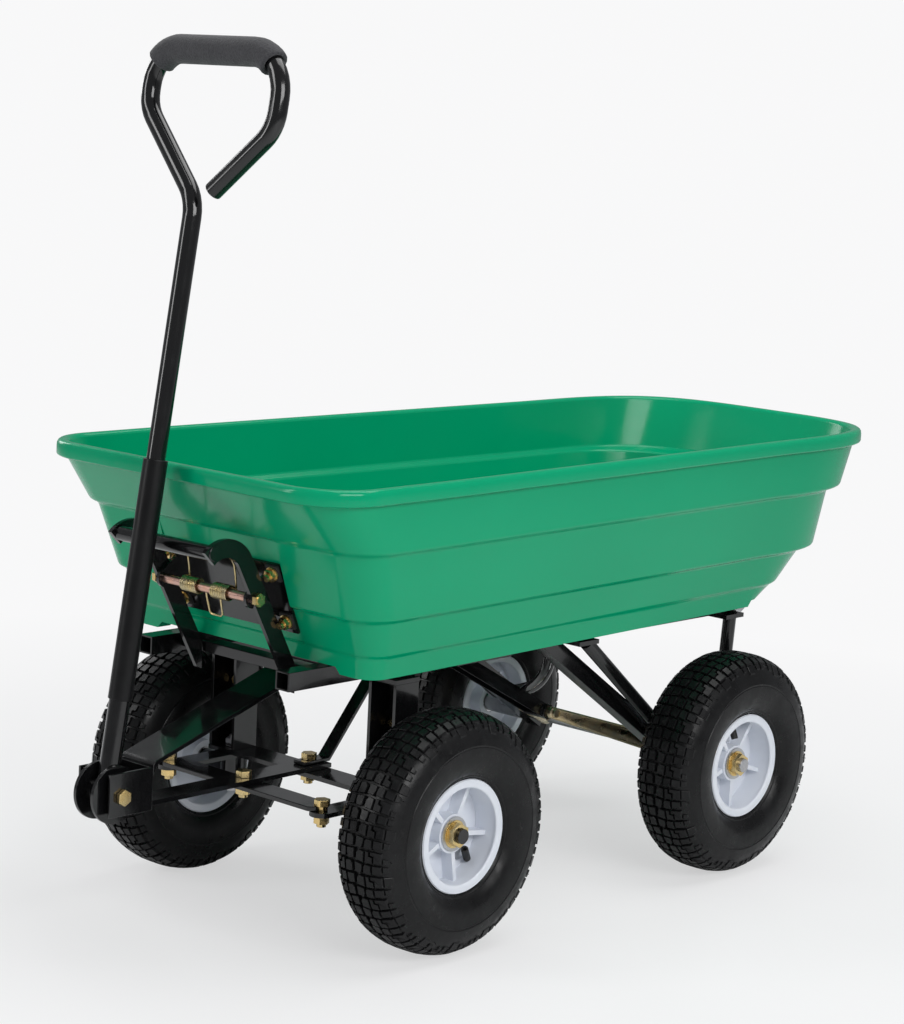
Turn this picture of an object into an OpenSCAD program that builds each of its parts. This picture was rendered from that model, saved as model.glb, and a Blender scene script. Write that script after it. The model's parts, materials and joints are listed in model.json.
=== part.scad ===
// Tipping dump cart: moulded tub on a steel frame, four pneumatic wheels, steered by a pull handle.
// Front (handle end) is -Y, the dumping nose is +Y, the ground is Z = 0.

/* [Wheels] */
// Outside radius of a tyre
tyre_r = 130; // [122:1:133]
// Width of a tyre
tyre_w = 82; // [70:1:84]
// Distance between left and right wheel centres
track = 391; // [388:1:420]
// Distance between the two axles
wheelbase = 484; // [480:1:500]
// Radius of the rim's outer flange
rim_r = 60; // [56:1:66]
// Distance of the rim's face from the wheel's centre plane
rim_face = 31; // [27:1:34]
// Number of ribs inside a rim
rim_ribs = 5; // [4:1:7]
// Radius of the wheel hub
hub_r = 21; // [19:1:24]
// Radius of the axle rods
axle_r = 8; // [7:0.5:9]
// Distance of the front axle behind the steering pivots
trail = 6; // [4:1:8]

/* [Frame] */
// Side of the square frame rails
rail = 20; // [18:1:22]
// Wall of the frame rails
rail_wall = 2; // [1.5:0.5:3]
// Distance of a rail's middle from the middle of the cart
rail_x = 106; // [104:1:110]
// Height of the rails' underside
rail_z = 282.5; // [275:0.5:290]
// Front end of the rails
rail_front = -392; // [-396:1:-386]
// Rear end of the rails
rail_rear = 361; // [358:1:361]
// Thickness of the flat bars
bar_t = 5; // [4:0.5:6]
// Width of the portal legs
leg_w = 40; // [34:1:40]
// Depth of the portal legs
leg_d = 40; // [34:1:40]
// Side of the square rear struts
strut = 20; // [18:1:22]
// Outside radius of the bent rear tubes
tube_r = 8; // [7:0.5:9]
// Lean of the upright part of the rear tubes, in degrees
post_lean = 4.5; // [0:0.5:8]

/* [Steering] */
// Position of the steering pivots along the cart
pivot_y = -245; // [-250:1:-240]
// Distance of a kingpin from the middle
king_x = 119.5; // [117:0.5:122]
// Radius of the kingpins
king_r = 6; // [5:0.5:7]
// Length of the steering arms
arm_len = 96; // [90:1:100]
// Width of the steering bars
link_w = 30; // [26:1:32]
// Height of the drawbar's underside above the axles
link_rise = 27; // [24:1:30]
// Radius of the steering bolts
link_bolt_r = 5; // [4:0.5:6]
// Width of the drawbar's upper strap
strap_w = 50; // [44:1:54]

/* [Handle] */
// Position of the handle hinge along the cart
hinge_y = -530; // [-534:1:-526]
// Height of the handle hinge above the axles
hinge_rise = 46; // [42:1:50]
// Radius of the two cheek discs
cheek_r = 30; // [27:1:31]
// Inside width of the clevis
clevis_in = 44; // [42:1:46]
// Backward lean of the handle, in degrees
lean = 8.8; // [8.2:0.2:9]
// Radius of the handle's upper tube
shaft_r = 9.75; // [9:0.25:10.5]
// Radius of the sleeve on the handle
sleeve_r = 12.5; // [12:0.25:12.75]
// Distance from the hinge to the sleeve's lower end
sleeve_from = 95; // [85:1:105]
// Distance from the hinge to the sleeve's upper end
sleeve_to = 340; // [335:1:350]
// Distance from the hinge to the handle's first bend
shaft_len = 603; // [590:1:615]
// Distance from the hinge to the top of the loop
loop_top = 753; // [745:1:760]
// Outside radius of the hand grip
grip_r = 15; // [13:0.5:17]

/* [Tub] */
// Wall thickness of the tub
wall = 4; // [3:0.5:5]
// Height of the rim above the tub's underside
rim_h = 199; // [190:1:205]
// Depth of the rolled rim
lip_h = 17; // [14:1:20]
// How far the rim stands out from the wall at the sides
lip_out = 7; // [5:1:9]
// Half width over the rim, at the front
rim_half = 230; // [226:1:233]
// Front edge of the rim
rim_front = 455; // [453:1:457]
// Rear end of the nose at the rim
rim_rear = 560; // [558:1:566]
// Narrowing of each side towards the rear, per unit of length
taper = 0.0374; // [0.03:0.001:0.045]
// Where the sides begin to curve into the nose
nose_from = 305; // [295:1:315]
// Squareness of the nose
nose_power = 3.7; // [3:0.1:4.2]
// Height of the upper ledge above the underside
ledge1_h = 131; // [126:1:136]
// Height of the middle ledge above the underside
ledge2_h = 58; // [54:1:62]
// Height of the lower ledge above the underside
ledge3_h = 18; // [16:1:22]
// Depth of the feet along both sides
foot_h = 7; // [5:1:8]
// Half width of the flat panel on the front
panel_half = 90; // [89:1:93]

/* [Hinge and carriers] */
// Position of the tub hinge along the cart
tip_y = 352; // [348:1:356]
// Radius of the hinge rod
tip_r = 5; // [4:0.5:6]
// Thickness of the flat carriers under the tub
carrier_t = 4; // [3:0.5:4]

/* [Latch] */
// Distance of a latch strap's middle from the middle of the cart
hook_x = 72; // [70:1:73]
// Position of the latch rod along the cart
rod_y = -402; // [-404:1:-400]
// Height of the latch rod
rod_z = 372.5; // [370:0.5:375]
// Radius of the latch rod
rod_r = 5; // [4:0.5:5]
// Width of the latch straps
hook_w = 19; // [17:1:20]
// Radius of the lift bar
lift_r = 8; // [7:0.5:8]
// Radius of the spring's wire
wire_r = 1.1; // [0.9:0.1:1.2]
// Turns in each half of the spring
spring_turns = 9; // [6:1:10]

/* [Hidden] */
$fn = 64;

// Clearances
seat = 0.3;
running = 0.06;
weld = 0.05;
overcut = 60;

// Wheel and axle places
front_y = pivot_y + trail;
rear_y = front_y + wheelbase;
axle_z = tyre_r;
link_z = axle_z + link_rise;
hinge_z = axle_z + hinge_rise;
wheel_x = track / 2;
hub_in = 22;
hub_out = 16;
bearing_r = 14;
bearing_w = 9;
shoulder_r = 12;
nut_h = 8;
washer_t = 2.5;
washer_r = 15;
axle_end = wheel_x + hub_out + seat + washer_t + nut_h + 4;

// Frame levels
rail_top = rail_z + rail;
rail_in = rail_x - rail / 2;
rail_out = rail_x + rail / 2;
cross_y = pivot_y;
cross_w = 36;
leg_x = king_x + 3;
leg_t = 4;
leg_y = cross_y - leg_d / 2 + 3;
leg_base = link_z - seat;
upper_bar_z = rail_z - bar_t;

// Steering levels, from the drawbar down
layer2_z = link_z - seat - bar_t;
arm_z = layer2_z - seat - bar_t;
knuckle_r = 15;
knuckle_h = arm_z + bar_t - (axle_z - 18);
tie_y = pivot_y - arm_len;
head_h = 7;

// Tub levels
underside = rail_top + seat + carrier_t;
rim_z = underside + rim_h;
panel_top = underside + ledge1_h - 4;
panel_low = underside + ledge3_h;
panel_front_top = rim_front - 61;
panel_front_low = rim_front - 108;

wall_slope = wall * 1.3;

// Tub hinge
tip_z = rail_z + rail / 2;
ear_t = 4;

// A hexagonal bolt head or nut, standing on z = 0
module hexagon(r, h) {
    cylinder(r = r, h = h, $fn = 6);
}

// A bolt down along Z from its head's seat: head above, nut below the clamped stack
module bolt(r, stack, head = head_h) {
    hexagon(r * 1.75, head);
    translate([0, 0, -stack - r * 2.4])
        cylinder(r = r, h = stack + r * 2.4 + 0.5);
    translate([0, 0, -stack - r * 1.6 - seat])
        hexagon(r * 1.7, r * 1.6);
}

// A rectangular bar in a plane across X, from one point [y, z] to another
module beam(from, to, x, w, h) {
    run = to - from;
    translate([x, from[0], from[1]])
        rotate([atan2(run[1], run[0]), 0, 0])
            translate([-w / 2, 0, -h / 2])
                cube([w, norm(run), h]);
}

function unit(v) = v / norm(v);
function turn(a, b) = atan2(a[0] * b[1] - a[1] * b[0], a * b);

module annulus(r, bore) {
    difference() {
        circle(r = r);
        if (bore > 0) circle(r = bore);
    }
}

module ring(r, bore, h) {
    difference() {
        cylinder(r = r, h = h);
        if (bore > 0)
            translate([0, 0, -1])
                cylinder(r = bore, h = h + 2);
    }
}

// Puts a drawing of the YZ plane upright, and gives it a thickness along X
module upright(x, t) {
    translate([x - t / 2, 0, 0])
        rotate([90, 0, 90])
            linear_extrude(t)
                children();
}

module mirrored() {
    children();
    mirror([1, 0, 0]) children();
}

// Frame rails, open square tubes
module frame_rail(side) {
    color("#1c1c1e")
        translate([side * rail_x, rail_front, rail_z + rail / 2])
            difference() {
                translate([-rail / 2, 0, -rail / 2])
                    cube([rail, rail_rear - rail_front, rail]);
                translate([-rail / 2 + rail_wall, -1, -rail / 2 + rail_wall])
                    cube([rail - 2 * rail_wall, rail_rear - rail_front + 2, rail - 2 * rail_wall]);
                translate([-rail, tip_y - rail_front, 0])
                    rotate([0, 90, 0])
                        cylinder(r = tip_r + weld, h = 2 * rail);
            }
}

module rail_left() frame_rail(-1);
module rail_right() frame_rail(1);

bar_face = -341;
bar_h = 12;
bar_d = 20;

// Square bar between the rails, under the tub's front
module front_bar() {
    color("#1c1c1e")
        translate([-rail_in + weld, bar_face, rail_z + 2.5])
            cube([2 * (rail_in - weld), bar_d, bar_h]);
}

plate_front = -140;
plate_rear = -52;

// Flat plate under both rails that takes the two middle struts
module centre_plate() {
    color("#1c1c1e")
        translate([-rail_out, plate_front, rail_z - bar_t])
            cube([2 * rail_out, plate_rear - plate_front, bar_t - weld]);
}

module cross_bar(z, holes) {
    half = leg_x + leg_w / 2;
    translate([0, 0, z])
        difference() {
            translate([-half, cross_y - cross_w / 2, 0])
                cube([2 * half, cross_w, bar_t]);
            for (x = holes)
                translate([x, pivot_y, -1])
                    cylinder(r = (x == 0 ? link_bolt_r : king_r) + weld, h = bar_t + 2);
        }
}

// Bar that ties the portal legs under the rails
module upper_cross_bar() {
    color("#1c1c1e") cross_bar(upper_bar_z - weld, [0]);
}

// Bar that ties the portal legs at the steering pivots
module lower_cross_bar() {
    color("#1c1c1e") cross_bar(layer2_z, [-king_x, 0, king_x]);
}

// Channel-shaped leg, open to the front
module portal_leg(side) {
    z0 = layer2_z + bar_t + weld;
    h = upper_bar_z - 2 * weld - z0;
    color("#1c1c1e")
        translate([side * leg_x, leg_y, z0])
            difference() {
                translate([-leg_w / 2, 0, 0])
                    cube([leg_w, leg_d - 6, h]);
                translate([-leg_w / 2 + leg_t, -1, -1])
                    cube([leg_w - 2 * leg_t, leg_d - 6 - leg_t + 1, h + 2]);
                for (x = [-9, 9])
                    translate([x, 0, leg_bolt_z])
                        rotate([-90, 0, 0])
                            cylinder(r = 3 + weld, h = leg_d);
            }
}

module portal_left() portal_leg(-1);
module portal_right() portal_leg(1);

// Pins that carry the knuckles under the lower bar
module kingpins() {
    color("#b8b8ba")
        for (side = [-1, 1])
            translate([side * king_x, pivot_y, 0]) {
                translate([0, 0, axle_z - 18 - seat - 5])
                    cylinder(r = king_r * 1.7, h = 5);
                translate([0, 0, axle_z - 18 - seat - 1])
                    cylinder(r = king_r, h = leg_base + 14 - axle_z + 18);
                translate([0, 0, layer2_z + bar_t + weld])
                    hexagon(king_r * 1.7, 9);
            }
}

foot_t = 4;
leg_bolt_z = 72;

// Bolts of the frame: centre pivot, strap pivot and the four in the portal legs
module frame_bolts() {
    color("#c9a85a") {
        translate([0, pivot_y, link_z + bar_t + foot_t + 2 * seat])
            bolt(link_bolt_r, 2 * bar_t + foot_t + 3 * seat);
        translate([0, pivot_y, rail_z + weld])
            bolt(link_bolt_r, 2 * bar_t + seat + 2 * weld);
        for (side = [-1, 1])
            for (x = [-9, 9])
                translate([side * leg_x + x, leg_y + leg_d - 6 - leg_t - weld,
                    layer2_z + bar_t + weld + leg_bolt_z])
                    rotate([90, 0, 0])
                        bolt(3, leg_t + 2 * weld, 5);
    }
}

strut_foot_rear = pivot_y + 24;
strut_w = 17;

// Bent strap from the centre bolt up to the centre plate
module centre_strut() {
    z0 = link_z + bar_t + seat;
    top = [plate_front + 14, rail_z - bar_t - weld];
    low = [strut_foot_rear, z0];
    dir = unit(top - low);
    thick = foot_t / dir[1];
    color("#1c1c1e")
        difference() {
            upright(0, strut_w)
                polygon([
                    [pivot_y - 15, z0], [low[0], z0], [top[0], top[1]],
                    [top[0] - thick, top[1]], [low[0] - foot_t * tan(25), z0 + foot_t],
                    [pivot_y - 15, z0 + foot_t]
                ]);
            translate([0, pivot_y, z0 - 1])
                cylinder(r = link_bolt_r + weld, h = foot_t + 2);
        }
}

collar_at = [133, 169];
channel_w = 28;

// Channel from the centre plate down to the collar that holds the axle braces
module centre_channel() {
    top = [plate_rear - 20, rail_z - bar_t - weld];
    run = unit(collar_at - top);
    color("#1c1c1e") {
        difference() {
            union() {
                beam(top - 12 * run, collar_at, 0, channel_w, 16);
                translate([-17, collar_at[0] + 1, collar_at[1]])
                    rotate([0, 90, 0])
                        cylinder(r = 9, h = 34);
            }
            translate([-channel_w / 2 + 3, 0, 0])
                translate([0, 5 * run[1], -5 * run[0]])
                    beam(top - 40 * run, collar_at - 8 * run, channel_w / 2 - 3, channel_w - 6, 16);
            translate([-overcut, top[0] - overcut, top[1]])
                cube(2 * overcut);
            translate([-overcut, collar_at[0] + 1, collar_at[1]])
                rotate([0, 90, 0])
                    cylinder(r = 5 + weld, h = 2 * overcut);
        }
    }
}

brace_x = 80;
brace_w = 14;
brace_t = 4;

// Two plated flats from the collar out to the rear axle, on one cross pin
module axle_braces() {
    color("#a8a060") {
        for (side = [-1, 1])
            difference() {
                hull() {
                    translate([side * 23, collar_at[0] + 1, collar_at[1]])
                        rotate([0, 90, 0])
                            cylinder(r = brace_w / 2, h = brace_t, center = true, $fn = 32);
                    translate([side * brace_x, rear_y, axle_z])
                        rotate([0, 90, 0])
                            cylinder(r = brace_w / 2 + 4, h = brace_t, center = true, $fn = 32);
                }
                translate([-overcut * 3, rear_y, axle_z])
                    rotate([0, 90, 0])
                        cylinder(r = axle_r + weld, h = overcut * 6);
                translate([-overcut * 3, collar_at[0] + 1, collar_at[1]])
                    rotate([0, 90, 0])
                        cylinder(r = 5 + weld, h = overcut * 6);
            }
        translate([-30, collar_at[0] + 1, collar_at[1]])
            rotate([0, 90, 0])
                cylinder(r = 5, h = 60);
    }
}

bow_r = 5;
bow_low = [channel_w / 2 + 3.4, 86, 202];
bow_high = [rail_x - strut / 2 - bow_r - weld, 40, 262];

// Bent rods that brace the centre channel to both rails
module frame_bows() {
    steps = 8;
    function place(t) = [
        bow_low[0] + (bow_high[0] - bow_low[0]) * sin(90 * t),
        bow_low[1] + (bow_high[1] - bow_low[1]) * sin(90 * t),
        bow_low[2] + (bow_high[2] - bow_low[2]) * t
    ];
    color("#1c1c1e")
        mirrored()
            wire_sweep([for (i = [0:steps]) place(i / steps)], bow_r, 10);
}

strut_top = 16;
strut_drop = 2;

// Square strut from a rail down to the rear axle
module rear_strut(side) {
    from = [strut_top, rail_z];
    to = [rear_y, axle_z - strut_drop];
    run = unit(to - from);
    color("#1c1c1e")
        difference() {
            beam(from - 1.5 * strut * run, to + 15 * run, side * rail_x, strut, strut);
            beam(from - 2 * strut * run, to - 22 * run, side * rail_x, strut - 4, strut - 4);
            translate([-2 * overcut + side * rail_x, strut_top - 3 * overcut, rail_z - weld])
                cube([4 * overcut, 6 * overcut, overcut]);
            translate([-4 * overcut, rear_y, axle_z])
                rotate([0, 90, 0])
                    cylinder(r = axle_r + weld, h = 8 * overcut);
        }
}

module rear_strut_left() rear_strut(-1);
module rear_strut_right() rear_strut(1);

tube_x = 136;
tube_front = 52;
tube_rear = 319.5;
tube_slope = 39.6;
tube_bend = 40;
lug_z = 283;
lug_t = 5;
lug_half = 17;

// Round tube over the axle, with a lug at each end on the side of the rail
module rear_tube(side) {
    run_z = axle_z + shoulder_r + tube_r + weld;
    drop = lug_z + 1 - run_z;
    corners = [
        [tube_front, lug_z + 1],
        [tube_front + drop / tan(tube_slope), run_z],
        [tube_rear - drop * tan(post_lean), run_z],
        [tube_rear, lug_z + 1]
    ];
    color("#1c1c1e") {
        translate([side * tube_x, 0, 0])
            rotate([90, 0, 90])
                difference() {
                    wire_sweep(bent_path(corners, [0, tube_bend, tube_bend, 0]), tube_r, 16);
                    translate([tube_front - overcut, lug_z - weld, -overcut])
                        cube([tube_rear - tube_front + 2 * overcut, overcut, 2 * overcut]);
                }
        for (y = [tube_front - 4, tube_rear])
            translate([side > 0 ? rail_out + weld : -tube_x - tube_r, y - lug_half, lug_z])
                cube([tube_x + tube_r - rail_out - weld, 2 * lug_half, lug_t]);
    }
}

module rear_tube_left() rear_tube(-1);
module rear_tube_right() rear_tube(1);

// Rear axle rod with a shoulder tube inside each wheel
module rear_axle() {
    shoulder = wheel_x - hub_in - seat;
    inner = rail_x + strut / 2 + weld;
    color("#3a3a3c")
        translate([0, rear_y, axle_z])
            rotate([0, 90, 0]) {
                translate([0, 0, -axle_end])
                    cylinder(r = axle_r, h = 2 * axle_end);
                for (side = [0, 1])
                    mirror([0, 0, side])
                        translate([0, 0, inner])
                            cylinder(r = shoulder_r, h = shoulder - inner);
            }
}

// Washer and nut on the end of an axle rod, along +X from the hub's face
module axle_fastener() {
    x0 = wheel_x + hub_out + seat;
    color("#c9a85a")
        translate([x0, 0, axle_z])
            rotate([0, 90, 0]) {
                ring(washer_r, axle_r + weld, washer_t);
                difference() {
                    translate([0, 0, washer_t])
                        hexagon(axle_r * 1.65, nut_h);
                    translate([0, 0, washer_t - 1])
                        cylinder(r = axle_r + weld, h = nut_h + 2);
                }
            }
}

module rear_axle_nuts() {
    mirrored() translate([0, rear_y, 0]) axle_fastener();
}

// Rod on which the tub tips
module hinge_rod() {
    half = rail_out + ear_t + 2 * seat + 3;
    color("#b8b8ba")
        translate([0, tip_y, tip_z])
            rotate([0, 90, 0]) {
                translate([0, 0, -half])
                    cylinder(r = tip_r, h = 2 * half);
                for (side = [0, 1])
                    mirror([0, 0, side])
                        translate([0, 0, half - 0.5])
                            hexagon(tip_r * 1.7, 5);
            }
}

// Flat drawbar from the clevis back over both pivot bolts
module drawbar() {
    color("#1c1c1e")
        translate([0, 0, link_z])
            difference() {
                translate([-link_w / 2, clevis_back + 4 + weld, 0])
                    cube([link_w, pivot_y + 20 - clevis_back - 4 - weld, bar_t]);
                for (y = [tie_y, pivot_y])
                    translate([0, y, -1])
                        cylinder(r = link_bolt_r + (y == tie_y ? weld : running), h = bar_t + 2);
            }
}

clevis_back = hinge_y + 36;
strap_low = [clevis_back + 8, hinge_z + 31];
strap_bend = [pivot_y - 28, upper_bar_z - seat - weld];

// Wide strap from the clevis up to the pivot under the frame
module drawbar_strap() {
    run = unit(strap_bend - strap_low);
    sag = bar_t / run[0];
    color("#1c1c1e")
        difference() {
            upright(0, strap_w)
                polygon([
                    strap_low, strap_bend, [pivot_y + 22, strap_bend[1]],
                    [pivot_y + 22, strap_bend[1] - bar_t], [strap_bend[0] + 1, strap_bend[1] - bar_t],
                    [strap_low[0] + 2, strap_low[1] - sag + 1], [clevis_back + 4 + weld, hinge_z + 14],
                    [clevis_back + 4 + weld, hinge_z + 27]
                ]);
            translate([0, pivot_y, strap_bend[1] - bar_t - 1])
                cylinder(r = link_bolt_r + running, h = bar_t + 2);
        }
}

clevis_t = 3;

// U-shaped bracket, open to the front, that holds the handle's foot
module clevis_bracket() {
    half = clevis_in / 2;
    low = link_z - 1;
    high = hinge_z + 25;
    front = hinge_y - 16;
    color("#1c1c1e")
        difference() {
            translate([-half - clevis_t, front, low])
                cube([2 * (half + clevis_t), clevis_back + 4 - front, high - low]);
            translate([-half, front - 1, low - 1])
                cube([2 * half, clevis_back - front + 1, high - low + 2]);
            translate([-half - clevis_t - 1, hinge_y, hinge_z])
                rotate([0, 90, 0])
                    cylinder(r = 5 + weld, h = 2 * (half + clevis_t) + 2);
        }
}

// Hinge bolt of the handle, and the bolt on which the tie bar turns
module drawbar_bolts() {
    half = clevis_in / 2 + clevis_t + weld;
    color("#c9a85a") {
        translate([half, hinge_y, hinge_z])
            rotate([0, 90, 0])
                bolt(5, 2 * half, 5);
        translate([0, tie_y, link_z + bar_t + weld])
            bolt(link_bolt_r, 2 * bar_t + seat + 2 * weld);
    }
}

// Bar that ties both steering arms, under the drawbar
module tie_bar() {
    color("#1c1c1e")
        translate([0, tie_y, layer2_z])
            difference() {
                translate([-king_x, -link_w / 2, 0])
                    cube([2 * king_x, link_w, bar_t]);
                for (x = [-king_x, 0, king_x])
                    translate([x, 0, -1])
                        cylinder(r = link_bolt_r + (x == 0 ? running : weld), h = bar_t + 2);
                for (side = [-1, 1])
                    for (end = [-1, 1])
                        translate([side * king_x, end * link_w / 2, -1])
                            rotate([0, 0, 45])
                                cube([9, 9, 3 * bar_t], center = true);
            }
}

// Bolts in the tie bar's ends, which turn in the arms
module tie_bolts() {
    color("#c9a85a")
        for (side = [-1, 1])
            translate([side * king_x, tie_y, layer2_z + bar_t + weld])
                bolt(link_bolt_r, 2 * bar_t + seat + 2 * weld);
}

// Knuckle: kingpin sleeve, stub axle and steering arm
module knuckle(side) {
    shoulder = wheel_x - hub_in - seat;
    low = axle_z - 18;
    color("#1c1c1e")
        difference() {
            union() {
                translate([side * king_x, pivot_y, low])
                    cylinder(r = knuckle_r, h = knuckle_h);
                translate([side * king_x, front_y, axle_z])
                    rotate([0, side * 90, 0]) {
                        cylinder(r = shoulder_r, h = shoulder - king_x);
                        cylinder(r = axle_r, h = axle_end - king_x);
                    }
                translate([side * king_x - link_w / 2 + 2, tie_y, arm_z])
                    cube([link_w - 4, arm_len, bar_t]);
                translate([side * king_x, tie_y, arm_z])
                    cylinder(r = link_w / 2 - 2, h = bar_t);
            }
            translate([side * king_x, pivot_y, low - 1])
                cylinder(r = king_r + running, h = knuckle_h + 2);
            translate([side * king_x, tie_y, arm_z - 1])
                cylinder(r = link_bolt_r + open_pivot, h = bar_t + 2);
        }
}

open_pivot = 0.5;

module knuckle_left() mirror([1, 0, 0]) knuckle(1);
module knuckle_right() knuckle(1);

module axle_nuts_left() {
    mirror([1, 0, 0]) translate([0, front_y, 0]) axle_fastener();
}

module axle_nuts_right() {
    translate([0, front_y, 0]) axle_fastener();
}

// Places a piece drawn in the handle's own plane: X across, Y along the handle
module on_handle() {
    translate([0, hinge_y, hinge_z])
        rotate([90 - lean, 0, 0])
            children();
}

cheek_t = 4;
cheek_in = 11.2;

// Foot of the handle: two cheek discs, cross tube and lower tube
module handle_fork() {
    color("#1c1c1e")
        difference() {
            union() {
                translate([0, hinge_y, hinge_z])
                    rotate([0, 90, 0])
                        for (side = [0, 1])
                            mirror([0, 0, side])
                                translate([0, 0, cheek_in])
                                    cylinder(r = cheek_r, h = cheek_t);
                translate([-cheek_in, hinge_y, hinge_z])
                    rotate([0, 90, 0])
                        cylinder(r = 13, h = 2 * cheek_in);
                on_handle()
                    rotate([-90, 0, 0])
                        cylinder(r = 11, h = sleeve_from - weld);
            }
            translate([-overcut, hinge_y, hinge_z])
                rotate([0, 90, 0])
                    cylinder(r = 5 + running, h = 2 * overcut);
        }
}

// Sleeve over the joint between the two tubes of the handle
module handle_sleeve() {
    color("#242427")
        on_handle()
            rotate([-90, 0, 0])
                translate([0, 0, sleeve_from])
                    ring(sleeve_r, shaft_r + weld, sleeve_to - sleeve_from);
}

loop_left = -90;
loop_right = 101;
loop_neck = 90;
loop_bend = 40;
left_bend = 38;
right_bend = 44;
loop_end = [26, 613];

// Points along a line in the XY plane whose corners are rounded, with a point every few degrees
function bent_path(corners, radii, step = 9) =
    let (
        last = len(corners) - 1,
        dirs = [for (i = [0:last - 1]) unit(corners[i + 1] - corners[i])]
    )
    [
        [corners[0][0], corners[0][1], 0],
        for (i = [1:last - 1])
            let (
                angle = turn(dirs[i - 1], dirs[i]),
                side = angle > 0 ? 1 : -1,
                normal = side * [-dirs[i - 1][1], dirs[i - 1][0]],
                centre = corners[i] - dirs[i - 1] * radii[i] * tan(abs(angle) / 2) + normal * radii[i],
                start = atan2(-normal[1], -normal[0]),
                count = ceil(abs(angle) / step)
            )
            for (k = [0:count])
                let (a = start + angle * k / count)
                [centre[0] + radii[i] * cos(a), centre[1] + radii[i] * sin(a), 0],
        [corners[last][0], corners[last][1], 0]
    ];

tube_wall = 1.5;

// Upper tube of the handle with its open loop
module handle_tube() {
    start = sleeve_from + 40;
    corners = [
        [0, start], [0, shaft_len], [loop_left, shaft_len + loop_neck], [loop_left, loop_top],
        [loop_right, loop_top], [loop_right, loop_top - 75], loop_end
    ];
    path = bent_path(corners, [0, 45, loop_bend, left_bend, right_bend, loop_bend, 0]);
    n = len(path);
    mouth = unit(path[n - 1] - path[n - 2]);
    inside = [path[n - 1], path[n - 1] - 40 * mouth];
    sides = 20;
    outer = wire_rings(path, [for (p = path) shaft_r], sides);
    bore = wire_rings(inside, [for (p = inside) shaft_r - tube_wall], sides);
    flipped_bore = [for (i = [0:1]) for (k = [0:sides - 1]) bore[i * sides + (3 * sides / 2 - k) % sides]];
    color("#1c1c1e")
        on_handle()
            skin(concat(outer, flipped_bore), sides);
}

grip_wrap = 50;
grip_sides = 18;

// Foam grip over the top of the loop
module hand_grip() {
    from = [loop_left + left_bend, loop_top - left_bend, 0];
    to = [loop_right - right_bend, loop_top - right_bend, 0];
    path = concat(
        [for (a = [90 + grip_wrap:-grip_wrap / 6:90]) from + left_bend * [cos(a), sin(a), 0]],
        [for (a = [90:-grip_wrap / 6:90 - grip_wrap + 8]) to + right_bend * [cos(a), sin(a), 0]]
    );
    bore = (shaft_r + seat / 2) / cos(180 / grip_sides);
    color("#2c2c30")
        on_handle()
            tube_sweep(path, grip_r, bore, grip_sides);
}

// One ring round the tub: height, half width, front, rear, corner radius, and how deep its feet
// hang. An inner ring keeps its distance from the outer panel.
function tub_ring(z, half, front, rear, corner, foot, inner) =
    let (
        across = [0, 30, 60, panel_half - 1, panel_half + 4, 118, 134, 141],
        corner_at = half - corner,
        arc = [for (a = [0:15:90]) [corner_at + corner * sin(a), -front + corner - corner * cos(a)]],
        from = side_width(half, nose_from),
        side = [for (y = [-200, 0, 160]) [side_width(half, y), y]],
        nose = [for (a = [0, 8, 16, 24, 32, 40, 48, 56, 64, 72, 80, 85])
            [from * pow(cos(a), 2 / nose_power),
                nose_from + (rear - nose_from) * pow(sin(a), 2 / nose_power)]],
        half_ring = concat([for (x = across) [x, -front]], arc, side, nose),
        n = len(half_ring),
        whole = concat(half_ring, [[0, rear]],
            [for (i = [n - 1:-1:1]) [-half_ring[i][0], half_ring[i][1]]])
    )
    [for (p = whole)
        let (level = z - inner * wall)
        [p[0], panel_line(p, level) + inner * panel_shift(p, level), z - foot_drop(p, foot)]];

function side_width(half, y) = half - taper * (y + rim_front - 68 - 90);

// The feet hang lower than the middle of the underside
function foot_drop(p, foot) = foot * (abs(p[0]) > 137 && p[1] < nose_from + 20 ? 1 : 0);

// Between the ledges the front's middle is one flat sloping panel
function on_panel_part(p, z) =
    abs(p[0]) < panel_half && p[1] < -rim_front / 2 && z <= panel_top + 1 && z >= panel_low - 1;

function panel_line(p, z) =
    on_panel_part(p, z)
    ? -(panel_front_low + (panel_front_top - panel_front_low) * (z - panel_low) / (panel_top - panel_low))
    : p[1];

// An inner wall stands behind the panel by the slope of the wall
function panel_shift(p, z) = on_panel_part(p, z) ? wall_slope : 0;

// The tub's outer rings, from the underside to the rim
function outer_rings() = [
    [underside, rim_half - 72, rim_front - 130, 345, 12, 0],
    [underside, rim_half - 70, rim_front - 128, 347, 14, foot_h],
    [underside, rim_half - 46, rim_front - 110, 369, 22, foot_h],
    [underside + ledge3_h - 3, rim_half - 44, rim_front - 109, 408, 24, 0],
    [underside + ledge3_h, rim_half - 40, rim_front - 106, 416, 26, 0],
    [underside + ledge2_h - 4, rim_half - 33, rim_front - 92, 462, 34, 0],
    [underside + ledge2_h, rim_half - 26, rim_front - 84, 490, 40, 0],
    [underside + ledge1_h - 4, rim_half - 16, rim_front - 61, 502, 40, 0],
    [underside + ledge1_h, rim_half - 9, rim_front - 54, 526, 42, 0],
    [rim_z - lip_h, rim_half - lip_out, rim_front - 12, rim_rear - 9, 58, 0]
];

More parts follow.
